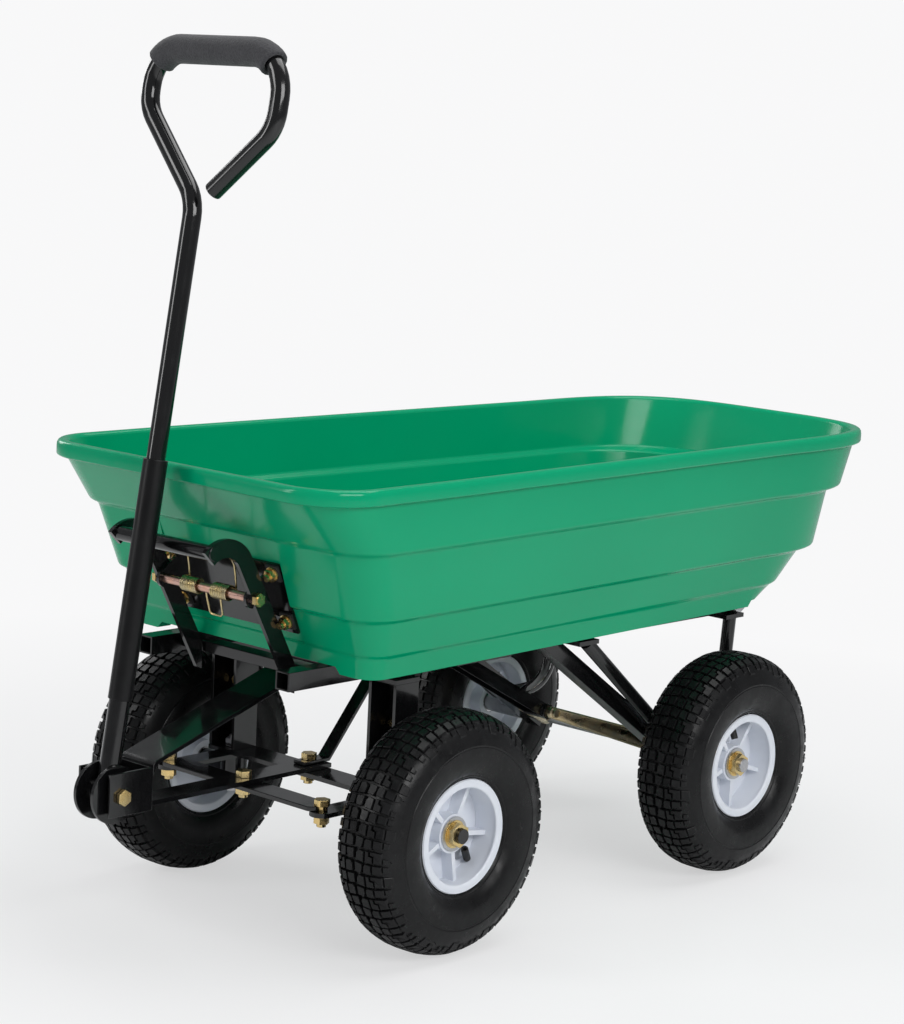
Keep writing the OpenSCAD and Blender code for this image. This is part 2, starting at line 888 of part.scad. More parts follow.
// The tub: stepped outside, rolled rim, and an inside that follows the outside at one wall
module tub() {
    outside = outer_rings();
    rim = [
        [rim_z - lip_h, rim_half - 1, rim_front - 1, rim_rear - 1, 67, 0],
        [rim_z - lip_h + 2, rim_half, rim_front, rim_rear, 68, 0],
        [rim_z - 4, rim_half, rim_front, rim_rear, 68, 0],
        [rim_z - 1, rim_half - 1.5, rim_front - 1.5, rim_rear - 1.5, 66, 0],
        [rim_z, rim_half - 4, rim_front - 4, rim_rear - 4, 64, 0],
        [rim_z - 0.5, rim_half - 10, rim_front - 13, rim_rear - 12, 56, 0],
        [rim_z - 4, rim_half - 12, rim_front - 17, rim_rear - 14, 52, 0]
    ];
    inside = [for (i = [8:-1:3])
        let (o = outside[i])
        [o[0] + wall, o[1] - wall, o[2] - wall_slope, o[3] - wall_slope, o[4] - wall, 0]];
    low = outside[2];
    floor = [underside + wall, low[1] - wall, low[2] - wall_slope - 1, low[3] - wall_slope, 18, 0];
    rings = concat(outside, rim, inside, [floor]);
    count = len(outside) + len(rim);
    points = [for (i = [0:len(rings) - 1])
        let (o = rings[i])
        each tub_ring(o[0], o[1], o[2], o[3], o[4], o[5], i < count ? 0 : 1)];
    color("#1fa06f")
        tub_skin(points, len(points) / len(rings));
}

// The faces between rings of points, each ring of the same count
function skin_walls(rows, count, around = false) =
    [for (i = [0:rows - (around ? 1 : 2)]) for (k = [0:count - 1])
        let (
            a = i * count + k,
            b = i * count + (k + 1) % count,
            over = (i + 1) % rows * count,
            c = over + (k + 1) % count,
            d = over + k
        )
        each [[a, c, b], [a, d, c]]];

// Joins rings of points and closes both ends with fans
module skin(points, count) {
    rows = len(points) / count;
    base = (rows - 1) * count;
    first = [for (k = [1:count - 2]) [0, k, k + 1]];
    final = [for (k = [1:count - 2]) [base, base + k + 1, base + k]];
    polyhedron(points = points, faces = concat(skin_walls(rows, count), first, final), convexity = 6);
}

// Joins the tub's rings and closes both ends with flat caps
module tub_skin(points, count) {
    rows = len(points) / count;
    caps = concat(cap(0, count, false), cap((rows - 1) * count, count, true));
    polyhedron(points = points, faces = concat(skin_walls(rows, count), caps), convexity = 10);
}

// The last point of a ring's straight front edge, counted from its middle
front_edge = 8;

// A flat cap over one ring: fans over the front edge, then strips from right to left
function cap(base, count, up) =
    let (
        apex = front_edge + 1,
        fans = [for (k = [0:front_edge - 1]) each [
            [k, k + 1, apex], [count - apex, count - k - 1, (count - k) % count]
        ]],
        strips = [for (k = [apex:floor(count / 2) - 1])
            let (b = k + 1, c = count - k, d = c - 1)
            each concat([[k, b, c]], b == d ? [] : [[b, d, c]])],
        all_faces = concat(fans, [[0, apex, count - apex]], strips)
    )
    [for (f = all_faces)
        up ? [base + f[0], base + f[2], base + f[1]] : [base + f[0], base + f[1], base + f[2]]];

carrier_front = -320;

ear_half = 9;

// Flats under the tub that rest on the rails, with the hinge ears beside the rails' rear ends
module tub_carriers() {
    ear_x = rail_out + seat;
    flat_end = tip_y - ear_half;
    z = rail_top + seat;
    t = carrier_t - weld;
    color("#1c1c1e")
        mirrored()
            difference() {
                union() {
                    translate([rail_in, carrier_front, z])
                        cube([rail, flat_end - carrier_front, t]);
                    translate([rail_in, flat_end - 4 * ear_half, z])
                        cube([rail + seat + ear_t, 4 * ear_half, t]);
                    translate([ear_x, tip_y - 2 * ear_half, z])
                        cube([ear_t, 3 * ear_half, t]);
                    translate([ear_x, tip_y - ear_half, tip_z])
                        cube([ear_t, 2 * ear_half, z + t - tip_z]);
                    translate([ear_x, tip_y, tip_z])
                        rotate([0, 90, 0])
                            cylinder(r = ear_half, h = ear_t);
                }
                translate([0, tip_y, tip_z])
                    rotate([0, 90, 0])
                        cylinder(r = tip_r + running, h = 3 * overcut);
            }
}

// Slope and place of the tub's front panel, for the pieces that sit on it
panel_run = [panel_front_top - panel_front_low, panel_top - panel_low];
panel_tilt = atan2(panel_run[0], panel_run[1]);

// Puts a drawing on the front panel: X across, Y up the slope, Z out of the tub
module on_panel(x, z) {
    y = -(panel_front_low + (z - panel_low) * panel_run[0] / panel_run[1]);
    translate([x, y, z])
        rotate([90 + panel_tilt, 0, 0])
            children();
}

latch_t = 3;
plate_bolt_x = 79;
plate_bolt_z = [underside + 42, underside + 94];
latch_low = underside + 28;
latch_high = underside + 103;

// Plate on the tub's front with two ears that hold the latch rod
module latch_plate() {
    color("#1c1c1e")
        difference() {
            union() {
                on_panel(0, latch_low)
                    translate([-plate_bolt_x - 9, 0, weld])
                        cube([2 * plate_bolt_x + 18, (latch_high - latch_low) / cos(panel_tilt), latch_t]);
                for (side = [-1, 1])
                    upright(side * (hook_x - 2.5 - seat - 2), 4)
                        ear_shape();
            }
            for (side = [-1, 1])
                for (z = plate_bolt_z)
                    on_panel(side * plate_bolt_x, z)
                        translate([0, 0, -1])
                            cylinder(r = 4 + weld, h = 20);
            translate([-3 * overcut, rod_y, rod_z])
                rotate([0, 90, 0])
                    cylinder(r = rod_r + weld, h = 6 * overcut);
        }
}

// An ear's outline, from the plate forward round the rod
module ear_shape() {
    back = -(panel_front_low + (rod_z - panel_low) * panel_run[0] / panel_run[1]) - weld - 1;
    lean_y = panel_run[0] / panel_run[1];
    difference() {
        union() {
            translate([rod_y, rod_z])
                circle(r = 10);
            polygon([
                [rod_y - 4, rod_z + 9.2], [rod_y - 4, rod_z - 9.2], [rod_y + 4, rod_z - 9.2],
                [back + 25 * lean_y, rod_z - 25], [back - 28 * lean_y, rod_z + 28]
            ]);
        }
        polygon([
            [back + 0.5 - 60 * lean_y, rod_z + 60], [back + 0.5 + 60 * lean_y, rod_z - 60],
            [back + 60, rod_z - 60], [back + 60, rod_z + 60]
        ]);
    }
}

// Rubber pads under the latch plate's bolt heads
module latch_pads() {
    color("#161616")
        for (side = [-1, 1])
            for (z = plate_bolt_z)
                on_panel(side * plate_bolt_x, z)
                    translate([0, 0, latch_t + 2 * weld])
                        difference() {
                            translate([-9, -9, 0])
                                cube([18, 18, 3]);
                            translate([0, 0, -1])
                                cylinder(r = 4 + weld, h = 5);
                        }
}

// Bolts through the latch plate, standing on the panel
module latch_bolts() {
    color("#c9b46a")
        for (side = [-1, 1])
            for (z = plate_bolt_z)
                on_panel(side * plate_bolt_x, z)
                    translate([0, 0, weld]) {
                        cylinder(r = 4, h = 17);
                        translate([0, 0, latch_t + 3 + 2 * weld])
                            ring(8, 4, 1.6);
                        translate([0, 0, latch_t + 4.6 + 2 * weld])
                            hexagon(7, 5);
                    }
}

rod_half = hook_x + 9;

// Rod on which the latch turns, with a nut at each end
module latch_rod() {
    color("#b87a68")
        translate([-rod_half, rod_y, rod_z])
            rotate([0, 90, 0])
                cylinder(r = rod_r, h = 2 * rod_half);
    color("#c9b46a")
        for (side = [-1, 1])
            translate([side * (hook_x + 2.5 + seat), rod_y, rod_z])
                rotate([0, side * 90, 0])
                    hexagon(rod_r * 1.5, 5);
}

hook_t = 5;
hook_bend = 31;
hook_lean = 29;
hook_end = 135;
hook_shank = 44;

// Two flat straps that hook over the rod, curled forward at the top
module latch_hooks() {
    color("#1c1c1e")
        for (side = [-1, 1])
            difference() {
                upright(side * hook_x, hook_t)
                    hook_shape();
                translate([side * hook_x - hook_t, rod_y, rod_z])
                    rotate([0, 90, 0])
                        cylinder(r = rod_r + running, h = 2 * hook_t);
                translate([side * hook_x - hook_t, lift_at[0], lift_at[1]])
                    rotate([0, 90, 0])
                        cylinder(r = lift_r + weld, h = 2 * hook_t);
            }
}

hook_dir = [-sin(hook_lean), cos(hook_lean)];
hook_side = [cos(hook_lean), sin(hook_lean)];
hook_mid = [rod_y, rod_z] + hook_side * 5;
hook_top = hook_mid + hook_dir * hook_shank;
bend_centre = hook_top - hook_side * hook_bend;
lift_at = bend_centre + hook_bend * [cos(hook_end - 15), sin(hook_end - 15)];

// Outline of a strap: straight shank, pointed foot and forward curl
module hook_shape() {
    half = hook_w / 2;
    reach = hook_mid[1] - rail_z + 8;
    foot = hook_mid - hook_dir * reach / hook_dir[1];
    difference() {
        polygon([
            hook_top + hook_side * half, hook_top - hook_side * half, foot - hook_side * half,
            foot - hook_dir * 12, foot + hook_side * half
        ]);
        translate([bar_face - 2.5, 0])
            square([overcut, rail_z + rail + 4]);
    }
    intersection() {
        translate(bend_centre)
            annulus(hook_bend + half, hook_bend - half);
        polygon([for (a = concat([-1], [for (k = [hook_lean - 2:10:hook_end]) k], [hook_end]))
            a < 0 ? bend_centre : bend_centre + 70 * [cos(a), sin(a)]]);
    }
}

// Round bar between the curls, lifted by hand to free the tub
module lift_bar() {
    color("#1c1c1e")
        translate([0, lift_at[0], lift_at[1]])
            rotate([0, 90, 0])
                cylinder(r = lift_r, h = 2 * (hook_x + hook_t / 2 + 1), center = true);
}

coil_r = rod_r + wire_r + 1.5;
coil_from = 11;
coil_pitch = 2.7;
coil_len = spring_turns * coil_pitch;
loop_drop = 30;

// Spring of one wire: leg, coil, loop on the plate, coil and leg
function coil_side() =
    [for (i = [0:8 * spring_turns])
        let (a = -45 * i)
        [coil_from + i * coil_pitch / 8, rod_y + coil_r * cos(a), rod_z + coil_r * sin(a)]];

// The loop that bears on the plate, from the middle out to the coil
function loop_side() = [
    [0, rod_y + 14, rod_z - loop_drop],
    [7, rod_y + 14, rod_z - loop_drop],
    [coil_from - 1.2, rod_y + 13.5, rod_z - loop_drop + 2.5],
    [coil_from - 0.5, rod_y + 10, rod_z - loop_drop / 2],
    [coil_from, rod_y + coil_r, rod_z - 4]
];

// The leg that stands up to the lift bar
function leg_side() =
    let (x = coil_from + coil_len)
    [
        [x + 0.2, rod_y + coil_r, rod_z + 3],
        [x + 0.4, rod_y + coil_r - 4, rod_z + 18],
        [x + 0.4, lift_at[0] + lift_r + 6, lift_at[1] - 14],
        [x + 0.4, lift_at[0] + lift_r + wire_r + seat, lift_at[1]]
    ];

half_wire = concat(loop_side(), coil_side(), leg_side());
whole_wire = concat(
    [for (i = [len(half_wire) - 1:-1:1]) [-half_wire[i][0], half_wire[i][1], half_wire[i][2]]],
    half_wire
);

// Least distance between parts of the wire that are more than half a turn apart
least_gap = min([for (i = [0:len(half_wire) - 1]) for (j = [i + 5:1:len(half_wire) - 1])
    norm(half_wire[i] - half_wire[j])]) - 2 * wire_r;
echo(spring_gap = least_gap);

module latch_spring() {
    color("#b9a24e")
        wire_sweep(whole_wire, wire_r, 6);
}

// A wire through a list of points, each ring square to the path and turned least from the last
module wire_sweep(path, r, sides) {
    skin(wire_rings(path, [for (p = path) r], sides), sides);
}

// A hollow round bar through a list of points, closed between its outside and its bore
module tube_sweep(path, r, bore, sides) {
    outer = wire_rings(path, [for (p = path) r], sides);
    inner = wire_rings(path, [for (p = path) bore], sides);
    rows = len(path);
    turned = [for (i = [rows - 1:-1:0]) for (k = [0:sides - 1]) inner[i * sides + k]];
    polyhedron(
        points = concat(outer, turned),
        faces = skin_walls(2 * rows, sides, true),
        convexity = 8
    );
}

function wire_rings(path, radii, sides) =
    let (
        n = len(path),
        ahead = [for (i = [0:n - 1]) unit(path[min(i + 1, n - 1)] - path[max(i - 1, 0)])],
        frames = [for (
            i = 0, side = unit(cross(ahead[0], [0.1, 0.2, 1]));
            i < n;
            i = i + 1,
            side = i < n ? unit(side - (side * ahead[i]) * ahead[i]) : side
        ) side]
    )
    [for (i = [0:n - 1]) for (k = [0:sides - 1])
        path[i] + radii[i] * (cos(360 * k / sides) * frames[i]
            + sin(360 * k / sides) * cross(ahead[i], frames[i]))];

// Turns a wheel's own axis, drawn along Z with its outer side up, to lie along X
module at_wheel(side, end) {
    translate([side * wheel_x, end < 0 ? front_y : rear_y, axle_z])
        rotate([0, side * 90, 0])
            rotate([0, 0, side < 0 ? 0 : end < 0 ? front_spin : rear_spin])
                children();
}

// How far the two right wheels have rolled, so that their valves stand as they came to rest
front_spin = -11;
rear_spin = 124;

tyre_wall = 7;

// Tyre: round shoulders, flat crown, and beads against the rim
module tyre() {
    half = tyre_w / 2;
    bead = rim_face - 4;
    color("#19191a")
        rotate_extrude($fn = 96)
            difference() {
                polygon([
                    [rim_r - 3, -bead], [rim_r + 3, -bead - 3], [rim_r + 14, -half + 2],
                    [tyre_r - 38, -half], [tyre_r - 22, -half + 1.5], [tyre_r - 10, -half + 7],
                    [tyre_r - 3, -half + 18], [tyre_r, -half + 30], [tyre_r, half - 30],
                    [tyre_r - 3, half - 18], [tyre_r - 10, half - 7], [tyre_r - 22, half - 1.5],
                    [tyre_r - 38, half], [rim_r + 14, half - 2], [rim_r + 3, bead + 3],
                    [rim_r - 3, bead]
                ]);
                polygon([
                    [rim_r - 4, -bead + 6], [rim_r + 14, -half + 2 + tyre_wall],
                    [tyre_r - 38, -half + tyre_wall], [tyre_r - 16, -half + tyre_wall + 8],
                    [tyre_r - 10, -8], [tyre_r - 10, 8], [tyre_r - 16, half - tyre_wall - 8],
                    [tyre_r - 38, half - tyre_wall], [rim_r + 14, half - 2 - tyre_wall],
                    [rim_r - 4, bead - 6]
                ]);
            }
}

barrel = 4;
web_t = 5;
rib_turn = 20;

// Rim: barrel with two flanges, a dished web, ribs and a hub
module rim() {
    inner = rim_r - 3 - weld - barrel;
    color("#eef0f2") {
        rotate_extrude($fn = 96)
            polygon([
                [inner, -rim_face + 2], [rim_r, -rim_face], [rim_r + 1, -rim_face + 1.4],
                [rim_r - 3 - weld, -rim_face + 4 - weld], [rim_r - 3 - weld, rim_face - 4 + weld],
                [rim_r + 1, rim_face - 1.4], [rim_r, rim_face], [inner, rim_face - 2]
            ]);
        difference() {
            union() {
                translate([0, 0, -web_t - 1])
                    cylinder(r = inner + 0.5, h = web_t);
                translate([0, 0, -hub_in])
                    cylinder(r = hub_r, h = hub_in + hub_out);
                for (i = [0:rim_ribs - 1])
                    rotate([0, 0, rib_turn + i * 360 / rim_ribs])
                        translate([hub_r - 3, -2.5, -web_t])
                            cube([inner - hub_r + 3.4, 5, 19]);
            }
            translate([0, 0, -hub_in - 1])
                cylinder(r = axle_r + 3, h = hub_in + hub_out + 2);
            translate([0, 0, hub_out - bearing_w])
                cylinder(r = bearing_r + weld, h = bearing_w + 1);
            translate([0, 0, -hub_in - 1])
                cylinder(r = bearing_r + weld, h = bearing_w + 1);
            rotate([0, 0, valve_turn])
                translate([inner - 13, 0, -8])
                    cylinder(r = 9, h = 2 * web_t);
        }
    }
}

// Two bearings in the hub's ends
module bearings() {
    color("#9a9a9c") {
        translate([0, 0, hub_out - bearing_w + weld])
            ring(bearing_r, axle_r + running, bearing_w - weld);
        translate([0, 0, -hub_in])
            ring(bearing_r, axle_r + running, bearing_w - weld);
    }
}

valve_turn = 56;
valve_r = 4;
valve_len = 24;

// Valve stem that stands out of the barrel
module valve() {
    inner = rim_r - 3 - weld - barrel - seat;
    color("#151515")
        rotate([0, 0, valve_turn])
            translate([inner, 0, 4])
                rotate([0, -66, 0])
                    difference() {
                        translate([0, 0, 2])
                            cylinder(r = valve_r, h = valve_len);
                        translate([0, 0, valve_len - 3])
                            cylinder(r = 2.2, h = 8);
                    }
}

module tyre_front_left() at_wheel(-1, -1) tyre();
module tyre_front_right() at_wheel(1, -1) tyre();
module tyre_rear_left() at_wheel(-1, 1) tyre();
module tyre_rear_right() at_wheel(1, 1) tyre();
module rim_front_left() at_wheel(-1, -1) rim();
module rim_front_right() at_wheel(1, -1) rim();
module rim_rear_left() at_wheel(-1, 1) rim();
module rim_rear_right() at_wheel(1, 1) rim();
module bearings_front_left() at_wheel(-1, -1) bearings();
module bearings_front_right() at_wheel(1, -1) bearings();
module bearings_rear_left() at_wheel(-1, 1) bearings();
module bearings_rear_right() at_wheel(1, 1) bearings();
module valve_front_left() at_wheel(-1, -1) valve();
module valve_front_right() at_wheel(1, -1) valve();
module valve_rear_left() at_wheel(-1, 1) valve();
module valve_rear_right() at_wheel(1, 1) valve();

rail_left();
rail_right();
front_bar();
centre_plate();
upper_cross_bar();
lower_cross_bar();
portal_left();
portal_right();
kingpins();
frame_bolts();
centre_strut();
centre_channel();
axle_braces();
frame_bows();
rear_strut_left();
rear_strut_right();
rear_tube_left();
rear_tube_right();
rear_axle();
rear_axle_nuts();
hinge_rod();
drawbar();
drawbar_strap();
clevis_bracket();
drawbar_bolts();
tie_bar();
tie_bolts();
knuckle_left();
knuckle_right();
axle_nuts_left();
axle_nuts_right();
handle_fork();
handle_sleeve();
handle_tube();
hand_grip();
tub();
tub_carriers();
latch_plate();
latch_pads();
latch_bolts();
latch_rod();
latch_hooks();
lift_bar();
latch_spring();
tyre_front_left();
tyre_front_right();
tyre_rear_left();
tyre_rear_right();
rim_front_left();
rim_front_right();
rim_rear_left();
rim_rear_right();
bearings_front_left();
bearings_front_right();
bearings_rear_left();
bearings_rear_right();
valve_front_left();
valve_front_right();
valve_rear_left();
valve_rear_right();
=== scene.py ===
"""Looks of the tipping dump cart: every finish, and the pieces that are richer than the solids.

Front (pull handle) is -Y, the dumping nose is +Y, the ground is Z = 0. Lengths are in metres,
except in the sections headed as millimetres.
"""

import json
import math

import bmesh
import bpy
from bpy.props import FloatProperty, FloatVectorProperty, IntProperty, PointerProperty
from mathutils import Matrix, Vector

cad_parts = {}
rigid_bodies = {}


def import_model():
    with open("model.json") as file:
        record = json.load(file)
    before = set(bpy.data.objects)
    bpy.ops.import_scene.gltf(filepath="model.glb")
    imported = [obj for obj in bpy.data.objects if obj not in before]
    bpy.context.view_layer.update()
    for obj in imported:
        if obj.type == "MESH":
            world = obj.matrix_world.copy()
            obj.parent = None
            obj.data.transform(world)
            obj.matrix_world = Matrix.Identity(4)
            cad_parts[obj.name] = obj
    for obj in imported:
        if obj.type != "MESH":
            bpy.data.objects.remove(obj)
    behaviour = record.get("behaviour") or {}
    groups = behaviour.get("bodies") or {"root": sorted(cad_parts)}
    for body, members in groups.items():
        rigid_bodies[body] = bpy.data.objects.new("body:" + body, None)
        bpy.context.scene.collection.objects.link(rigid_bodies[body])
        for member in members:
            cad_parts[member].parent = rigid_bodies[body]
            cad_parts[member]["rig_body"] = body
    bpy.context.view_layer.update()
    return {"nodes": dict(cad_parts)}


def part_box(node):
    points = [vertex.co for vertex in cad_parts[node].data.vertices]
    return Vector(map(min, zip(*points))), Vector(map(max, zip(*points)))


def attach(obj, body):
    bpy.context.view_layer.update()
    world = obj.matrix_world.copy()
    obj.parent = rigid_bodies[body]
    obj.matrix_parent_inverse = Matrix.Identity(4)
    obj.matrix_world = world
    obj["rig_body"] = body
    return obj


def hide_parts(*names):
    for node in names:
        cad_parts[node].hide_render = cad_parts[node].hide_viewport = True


bl_info = {
    "name": "Tipping dump cart",
    "version": (1, 0, 0),
    "blender": (4, 5, 0),
    "location": "3D View > Sidebar > Cart",
    "description": "Finishes and detailed pieces of a garden dump cart",
    "category": "Object",
}

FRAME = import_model()
NODES = FRAME["nodes"]
WHEELS = ("front_left", "front_right", "rear_left", "rear_right")


# ---- sizes and colours that a user may change ----


class CartSizes(bpy.types.PropertyGroup):
    tread_depth: FloatProperty(
        name="Tread depth", description="Height of the tread blocks", default=0.0036, unit="LENGTH"
    )
    tread_pitches: IntProperty(
        name="Tread pitches", description="Blocks in one row round a tyre", default=30
    )
    tyre_radius: FloatProperty(
        name="Tyre radius", description="Radius over the tread", default=0.1298, unit="LENGTH"
    )
    tyre_half: FloatProperty(
        name="Half tyre width", description="Half the width over the sidewalls", default=0.0408,
        unit="LENGTH",
    )
    bar_edge: FloatProperty(
        name="Bar edge", description="Rounding along the edges of bars and plates", default=0.0011,
        unit="LENGTH",
    )
    bolt_edge: FloatProperty(
        name="Bolt edge", description="Chamfer of bolt heads and nuts", default=0.0006,
        unit="LENGTH",
    )
    fine_edge: FloatProperty(
        name="Fine edge", description="Rounding of washers and bearings", default=0.0005,
        unit="LENGTH",
    )
    thin_edge: FloatProperty(
        name="Thin edge", description="Rounding of the braces and the handle's sleeve",
        default=0.0008, unit="LENGTH",
    )
    grip_edge: FloatProperty(
        name="Grip edge", description="Rounding of the foam grip's ends", default=0.002,
        unit="LENGTH",
    )
    rim_edge: FloatProperty(
        name="Rim edge", description="Rounding of the moulded rims", default=0.0016, unit="LENGTH"
    )
    tub_wall: FloatProperty(
        name="Tub wall", description="Thickness of the tub's wall", default=0.004, unit="LENGTH"
    )


class CartColours(bpy.types.PropertyGroup):
    tub: FloatVectorProperty(
        name="Tub", description="Colour of the moulded tub", subtype="COLOR", size=3,
        default=(0.0, 0.335, 0.155),
    )
    coat: FloatVectorProperty(
        name="Coat", description="Powder coat on the steel", subtype="COLOR", size=3,
        default=(0.0045, 0.0045, 0.005),
    )
    rim: FloatVectorProperty(
        name="Rims", description="Moulded wheel rims", subtype="COLOR", size=3,
        default=(0.74, 0.77, 0.83),
    )
    zinc: FloatVectorProperty(
        name="Zinc", description="Yellow zinc on bolts and nuts", subtype="COLOR", size=3,
        default=(0.72, 0.52, 0.22),
    )
    rubber: FloatVectorProperty(
        name="Tyres", description="Tyre rubber", subtype="COLOR", size=3,
        default=(0.0048, 0.0048, 0.0052),
    )
    floor: FloatVectorProperty(
        name="Floor", description="Studio floor", subtype="COLOR", size=3,
        default=(0.90, 0.903, 0.91),
    )


def sizes():
    return bpy.context.scene.cart_sizes


def colours():
    return bpy.context.scene.cart_colours


# ---- materials ----


class Finish:
    """One procedural finish: colour mottling, roughness variation and a fine relief."""

    def __init__(self, name, base, rough, metallic=0.0, **shader):
        self.mat = bpy.data.materials.new(name)
        self.mat.use_nodes = True
        self.tree = self.mat.node_tree
        self.shader = self.tree.nodes["Principled BSDF"]
        self.shader.inputs["Base Color"].default_value = (*base, 1)
        self.shader.inputs["Roughness"].default_value = rough
        self.shader.inputs["Metallic"].default_value = metallic
        for socket, value in shader.items():
            self.shader.inputs[socket.replace("_", " ")].default_value = value
        self.where = self.tree.nodes.new("ShaderNodeTexCoord").outputs["Object"]
        self.base = base
        self.rough = rough
        self.relief = None

    def noise(self, scale, detail=3.0, stretch=(1, 1, 1)):
        mapping = self.tree.nodes.new("ShaderNodeMapping")
        mapping.inputs["Scale"].default_value = stretch
        self.tree.links.new(self.where, mapping.inputs["Vector"])
        node = self.tree.nodes.new("ShaderNodeTexNoise")
        node.inputs["Scale"].default_value = scale
        node.inputs["Detail"].default_value = detail
        self.tree.links.new(mapping.outputs["Vector"], node.inputs["Vector"])
        return node.outputs["Fac"]

    def cells(self, scale):
        node = self.tree.nodes.new("ShaderNodeTexVoronoi")
        node.inputs["Scale"].default_value = scale
        self.tree.links.new(self.where, node.inputs["Vector"])
        return node.outputs["Distance"]

    def span(self, value, low, high, to_low, to_high):
        node = self.tree.nodes.new("ShaderNodeMapRange")
        node.inputs["From Min"].default_value = low
        node.inputs["From Max"].default_value = high
        node.inputs["To Min"].default_value = to_low
        node.inputs["To Max"].default_value = to_high
        self.tree.links.new(value, node.inputs["Value"])
        return node.outputs["Result"]

    def upward(self, low, high):
        """Where a surface faces up, for dust and wear that settle there."""
        normal = self.tree.nodes.new("ShaderNodeNewGeometry")
        split = self.tree.nodes.new("ShaderNodeSeparateXYZ")
        self.tree.links.new(normal.outputs["Normal"], split.inputs["Vector"])
        return self.span(split.outputs["Z"], low, high, 0.0, 1.0)

    def product(self, a, b):
        node = self.tree.nodes.new("ShaderNodeMath")
        node.operation = "MULTIPLY"
        self.tree.links.new(a, node.inputs[0])
        self.tree.links.new(b, node.inputs[1])
        return node.outputs["Value"]

    def tint(self, factor, colour):
        """Mixes a second colour in by a factor, over what the base colour already is."""
        node = self.tree.nodes.new("ShaderNodeMix")
        node.data_type = "RGBA"
        target = self.shader.inputs["Base Color"]
        if target.is_linked:
            self.tree.links.new(target.links[0].from_socket, node.inputs["A"])
        else:
            node.inputs["A"].default_value = (*self.base, 1)
        node.inputs["B"].default_value = (*colour, 1)
        self.tree.links.new(factor, node.inputs["Factor"])
        self.tree.links.new(node.outputs["Result"], target)

    def roughness(self, value, spread):
        """Varies the roughness by the spread, either way."""
        least, most = max(self.rough - spread, 0.02), min(self.rough + spread, 1)
        varied = self.span(value, 0.3, 0.7, least, most)
        self.tree.links.new(varied, self.shader.inputs["Roughness"])

    def bump(self, value, strength, distance):
        """Adds relief over what is there already. It comes last, so it gives the finish back."""
        node = self.tree.nodes.new("ShaderNodeBump")
        node.inputs["Strength"].default_value = strength
        node.inputs["Distance"].default_value = distance
        self.tree.links.new(value, node.inputs["Height"])
        if self.relief is not None:
            self.tree.links.new(self.relief, node.inputs["Normal"])
        self.relief = node.outputs["Normal"]
        self.tree.links.new(self.relief, self.shader.inputs["Normal"])
        return self


def tub_plastic():
    c = colours().tub
    f = Finish(
        "tub_plastic", c, 0.17, Specular_IOR_Level=0.22, Coat_Weight=0.04, Coat_Roughness=0.03
    )
    f.tint(f.span(f.noise(3.5, 4), 0.35, 0.7, 0.0, 0.4), (c[0], c[1] * 0.8, c[2] * 0.8))
    f.roughness(f.noise(14, 5, (1, 1, 2.5)), 0.05)
    scuffs = f.product(f.span(f.noise(60, 6, (1, 0.12, 1)), 0.62, 0.72, 0, 1), f.upward(0.3, 0.9))
    f.tint(f.span(scuffs, 0, 1, 0, 0.12), (0.35, 0.55, 0.45))
    f.bump(f.noise(9, 3), 0.12, 0.004)
    return f.bump(f.noise(420, 2), 0.05, 0.0004).mat


def coat(name, rough, orange_peel, gloss):
    """Black powder coat, with dust on what faces up."""
    f = Finish(
        name, colours().coat, rough, Specular_IOR_Level=0.25 + 0.17 * gloss,
        Coat_Weight=0.3 * gloss, Coat_Roughness=0.035,
    )
    f.roughness(f.noise(40, 4), 0.07)
    dust = f.product(f.span(f.noise(55, 6), 0.45, 0.75, 0, 1), f.upward(0.4, 1.0))
    f.tint(f.span(dust, 0, 1, 0, 0.06), (0.12, 0.115, 0.11))
    return f.bump(f.noise(380, 3), orange_peel, 0.0004).mat


def frame_coat():
    return coat("frame_coat", 0.15, 0.05, 1.0)


def sleeve_coat():
    return coat("sleeve_coat", 0.36, 0.2, 0.0)


def plated(name, base, rough, second, grain=(1, 1, 1)):
    """Bare or plated metal, mottled with a second tone."""
    f = Finish(name, base, rough, 1.0)
    f.tint(f.span(f.noise(85, 4), 0.38, 0.68, 0, 0.75), second)
    f.roughness(f.noise(120, 5, grain), 0.1)
    return f.bump(f.noise(600, 4, grain), 0.08, 0.0003).mat


def zinc_plate():
    c = colours().zinc
    return plated("zinc_plate", c, 0.26, (c[0] * 0.82, c[1] * 0.95, c[2] * 1.25))


def brace_plate():
    return plated("brace_plate", (0.66, 0.52, 0.30), 0.3, (0.46, 0.42, 0.32), (1, 0.2, 1))


def copper_plate():
    return plated("copper_plate", (0.62, 0.36, 0.27), 0.28, (0.52, 0.36, 0.34), (0.1, 1, 1))


def spring_plate():
    return plated("spring_plate", (0.60, 0.48, 0.24), 0.25, (0.45, 0.40, 0.28))


def turned_steel():
    return plated("turned_steel", (0.50, 0.50, 0.51), 0.3, (0.40, 0.40, 0.42), (0.1, 1, 1))


def tyre_rubber():
    c = colours().rubber
    f = Finish("tyre_rubber", c, 0.34, Specular_IOR_Level=0.22)
    f.tint(f.span(f.noise(26, 5), 0.42, 0.75, 0, 0.5), (0.013, 0.013, 0.014))
    f.tint(f.span(f.noise(210, 6), 0.62, 0.78, 0, 0.3), (0.05, 0.049, 0.047))
    f.roughness(f.noise(60, 4), 0.12)
    f.bump(f.noise(110, 4), 0.18, 0.0012)
    return f.bump(f.noise(900, 2), 0.12, 0.0003).mat


def rim_plastic():
    c = colours().rim
    f = Finish("rim_plastic", c, 0.36)
    f.tint(f.span(f.noise(30, 4), 0.4, 0.75, 0, 0.35), (c[0] * 0.86, c[1] * 0.88, c[2] * 0.93))
    f.roughness(f.noise(50, 4), 0.07)
    return f.bump(f.noise(160, 3), 0.08, 0.0008).mat


